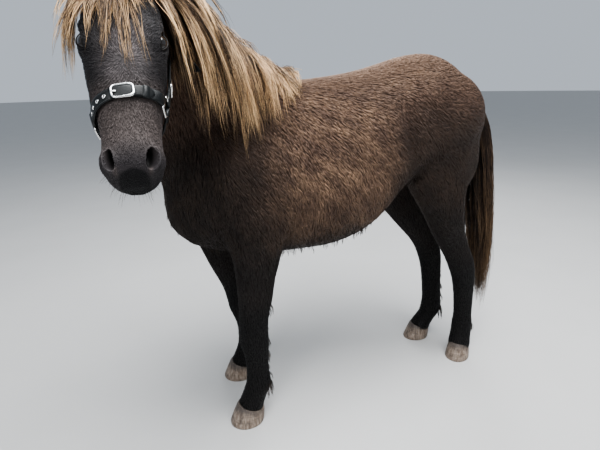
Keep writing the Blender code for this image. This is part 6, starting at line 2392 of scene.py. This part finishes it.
REGIONS = {
    "head": (180000, 0.0010, lambda p: head_share(p) > 0.5, 2, face_variety),
    "trunk": (66000, 0.0019, lambda p: (head_share(p) <= 0.5) & (p[:, 2] > 0.48), 4, lambda p: 0.62),
    "legs": (78000, 0.0016, lambda p: (head_share(p) <= 0.5) & (p[:, 2] <= 0.48), 2, lambda p: 0.55),
}
FUR = fur_material()
SKIN = skin_material()

# %% Coat and hair of the ears
def ear_tufts(word, side):
    """Short coat that lies along the ear towards its tip."""
    places, normals, uvs = ear_grounds[word].roots(lambda middles, _: np.full(len(middles), 260000.0), rng)
    _, rise, _, _ = ear_axes(side)
    ways = unit(np.array(rise) - normals * (normals @ np.array(rise))[:, None])
    count = len(places)
    length = rng.uniform(0.007, 0.011, count)
    widths = 0.0010 * rng.uniform(0.7, 1.3, count)
    roots = (places, normals, uvs)
    return tufts("coat_ear_" + word, roots, ways, length, widths, length * 0.16, rng, False, 0.6)


def ear_hair_guides(side):
    """Long soft hair that fills the ear's hollow and stands out past its rim."""
    base, rise, opening, across = ear_axes(side)
    guides = []
    for _ in range(EAR_HAIR_LOCKS):
        t = rng.uniform(0.12, 0.62)
        aside = rng.uniform(-0.8, 0.8)
        root = base + rise * EAR_LENGTH * t + across * 0.016 * aside - opening * 0.012 * (1 - abs(aside))
        heading = (rise * rng.uniform(0.3, 0.9) + opening * 0.9 - across * aside * 0.4).normalized()
        points = [root + heading * d + DOWN * d * d * 6 for d in np.linspace(0, rng.uniform(0.026, 0.044), 8)]
        guides.append((np.array(points), np.array([across] * 8), 0.005, 0.004, 12))
    return guides


ear_coats = {word: ear_tufts(word, side) for side, word in SIDES}
hollow_guides = [guide for side, _ in SIDES for guide in ear_hair_guides(side)]
ear_hair = strands("ear_hair", hollow_guides, rng, width=0.0007, rows=7, shortest=0.5)

# %% Scatter the coat, region by region
tuft_total = 0
coat_pieces = []
for region, (density, width, belongs, parts, variety) in REGIONS.items():
    places, normals, uvs = ground.roots(lambda middles, _: density * belongs(middles), rng)
    keep = ~bare(places)
    if region == "head":
        keep &= ~near_surface(places, strap_surface, STRAP_CLEARANCE)
    places, normals, uvs = places[keep], normals[keep], uvs[keep]
    order = np.argsort(places[:, 0] if region != "legs" else places[:, 1] + (places[:, 0] > 0) * 2)
    for k, chosen in enumerate(np.array_split(order, parts)):
        roots = (places[chosen], normals[chosen], uvs[chosen])
        count = len(chosen)
        length = hair_length(roots[0], roots[1]) * rng.uniform(0.75, 1.2, count)
        ways = lie(roots[0], roots[1])
        ways = unit(ways + np.cross(roots[1], ways) * rng.normal(0, 0.08, count)[:, None])
        lift = coat_depth(roots[0]) * rng.uniform(0.35, 0.95, count)
        widths = width * rng.uniform(0.7, 1.3, count)
        tones = variety(roots[0])
        piece = tufts(f"coat_{region}_{k + 1}", roots, ways, length, widths, lift, rng, variety=tones)
        coat_pieces.append(piece)
        tuft_total += count
print("tufts", tuft_total, "triangles", tuft_total * 6)

# %% [markdown]
# The skin stands for all the flesh nodes at once, since no seam may show between them. The coat over it
# stands for nothing, and the tail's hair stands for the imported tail.

# %% Finish skin, coat and long hair
FLESH_NODES = ["head", "neck", "torso", "fore_left_leg", "fore_right_leg", "hind_left_upper_leg",
               "hind_left_lower_leg", "hind_right_upper_leg", "hind_right_lower_leg"]
finished(skin, "skin", SKIN, FLESH_NODES)
for word, piece in ears.items():
    finished(piece, "ear_shell_" + word, SKIN, ["ear_" + word])
for piece in [*coat_pieces, *ear_coats.values()]:
    finished(piece, piece.name, FUR)
finished(ear_hair, "ear_hair", FETLOCK_HAIR)
finished(mane, "mane", MANE_HAIR)
finished(forelock, "forelock", MANE_HAIR)
finished(tail, "tail_hair", TAIL_HAIR, ["tail"])
finished(fetlocks, "fetlock_hair", FETLOCK_HAIR)
finished(belly, "belly_hair", FETLOCK_HAIR)
finished(lashes, "lashes", FETLOCK_HAIR)
finished(whiskers, "whiskers", WHISKER_HAIR)
print("pieces", len(ALL_PIECES))

# %% [markdown]
# A plain pale floor and plain soft light show the coat as it is. The camera has the photograph's place,
# tilt and field of view, worked out from the four soles on the level ground.

# %% Floor, light and camera
def floor_material():
    made, r, shader = new_material("pale_floor", 0.75)
    grain = r.noise(r.add("TexCoord", out="Object"), 3.0, 4.0)
    r.link(r.mix(grain, (0.42, 0.42, 0.415, 1), (0.46, 0.46, 0.455, 1)), shader["Base Color"])
    return made


def floor():
    bm = bmesh.new()
    bmesh.ops.create_circle(bm, cap_ends=True, segments=96, radius=30)
    piece = object_of(mesh_of(bm, "floor"), "floor")
    piece.data.materials.append(floor_material())


def area_light(name, place, target, size, power):
    data = bpy.data.lights.new(name, "AREA")
    data.shape = "DISK"
    data.size = size
    data.energy = power
    light = bpy.data.objects.new(name, data)
    bpy.context.scene.collection.objects.link(light)
    light.matrix_world = (target - place).to_track_quat("-Z", "Y").to_matrix().to_4x4()
    light.location = place


def soft_sky(strength):
    world = bpy.data.worlds.new("studio")
    bpy.context.scene.world = world
    world.use_nodes = True
    background = world.node_tree.nodes["Background"]
    background.inputs["Color"].default_value = (0.74, 0.81, 0.90, 1)
    background.inputs["Strength"].default_value = strength

# %% The camera's place and tilt
FOCAL_PIXELS = 451
FRAME_WIDTH = 600
SENSOR = 36
CAMERA_PLACE = Vector((-0.6295, -1.2086, 0.970))
CAMERA_YAW = math.radians(20.92)
CAMERA_PITCH = math.radians(18)
CAMERA_ROLL = math.radians(1.2)


def camera():
    """The photograph's camera, turned a little about its own axis."""
    right = Vector((math.cos(CAMERA_YAW), -math.sin(CAMERA_YAW), 0))
    ahead = Vector((math.sin(CAMERA_YAW), math.cos(CAMERA_YAW), 0))
    view = ahead * math.cos(CAMERA_PITCH) + DOWN * math.sin(CAMERA_PITCH)
    below = -ahead * math.sin(CAMERA_PITCH) + DOWN * math.cos(CAMERA_PITCH)
    side = right * math.cos(CAMERA_ROLL) + below * math.sin(CAMERA_ROLL)
    low = below * math.cos(CAMERA_ROLL) - right * math.sin(CAMERA_ROLL)
    data = bpy.data.cameras.new("camera")
    data.sensor_width = SENSOR
    data.lens = SENSOR * FOCAL_PIXELS / FRAME_WIDTH
    data.clip_start = 0.02
    piece = bpy.data.objects.new("camera", data)
    bpy.context.scene.collection.objects.link(piece)
    turned = Matrix((side, -low, -view)).transposed().to_4x4()
    piece.matrix_world = Matrix.Translation(CAMERA_PLACE + SHIFT) @ turned
    bpy.context.scene.camera = piece

# %% Set the stage
floor()
soft_sky(0.62)
area_light("sky_panel", Vector((0.3, -0.8, 3.4)), Vector((0, 0, 0.7)), 2.8, 250)
area_light("front_panel", Vector((-2.4, -2.6, 2.6)), Vector((0, 0, 0.7)), 1.8, 60)
area_light("rim_panel", Vector((1.6, 2.6, 2.4)), Vector((0, 0, 0.7)), 1.8, 40)
camera()
print("camera at", tuple(round(v, 3) for v in bpy.context.scene.camera.matrix_world.translation))
bpy.context.scene.view_settings.view_transform = "AgX"
bpy.context.scene.view_settings.look = "AgX - Medium High Contrast"

# %% Note the sizes and finish
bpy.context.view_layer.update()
triangles = sum(sum(len(f.vertices) - 2 for f in o.data.polygons) for o in ALL_PIECES)
print("triangles in all", triangles)
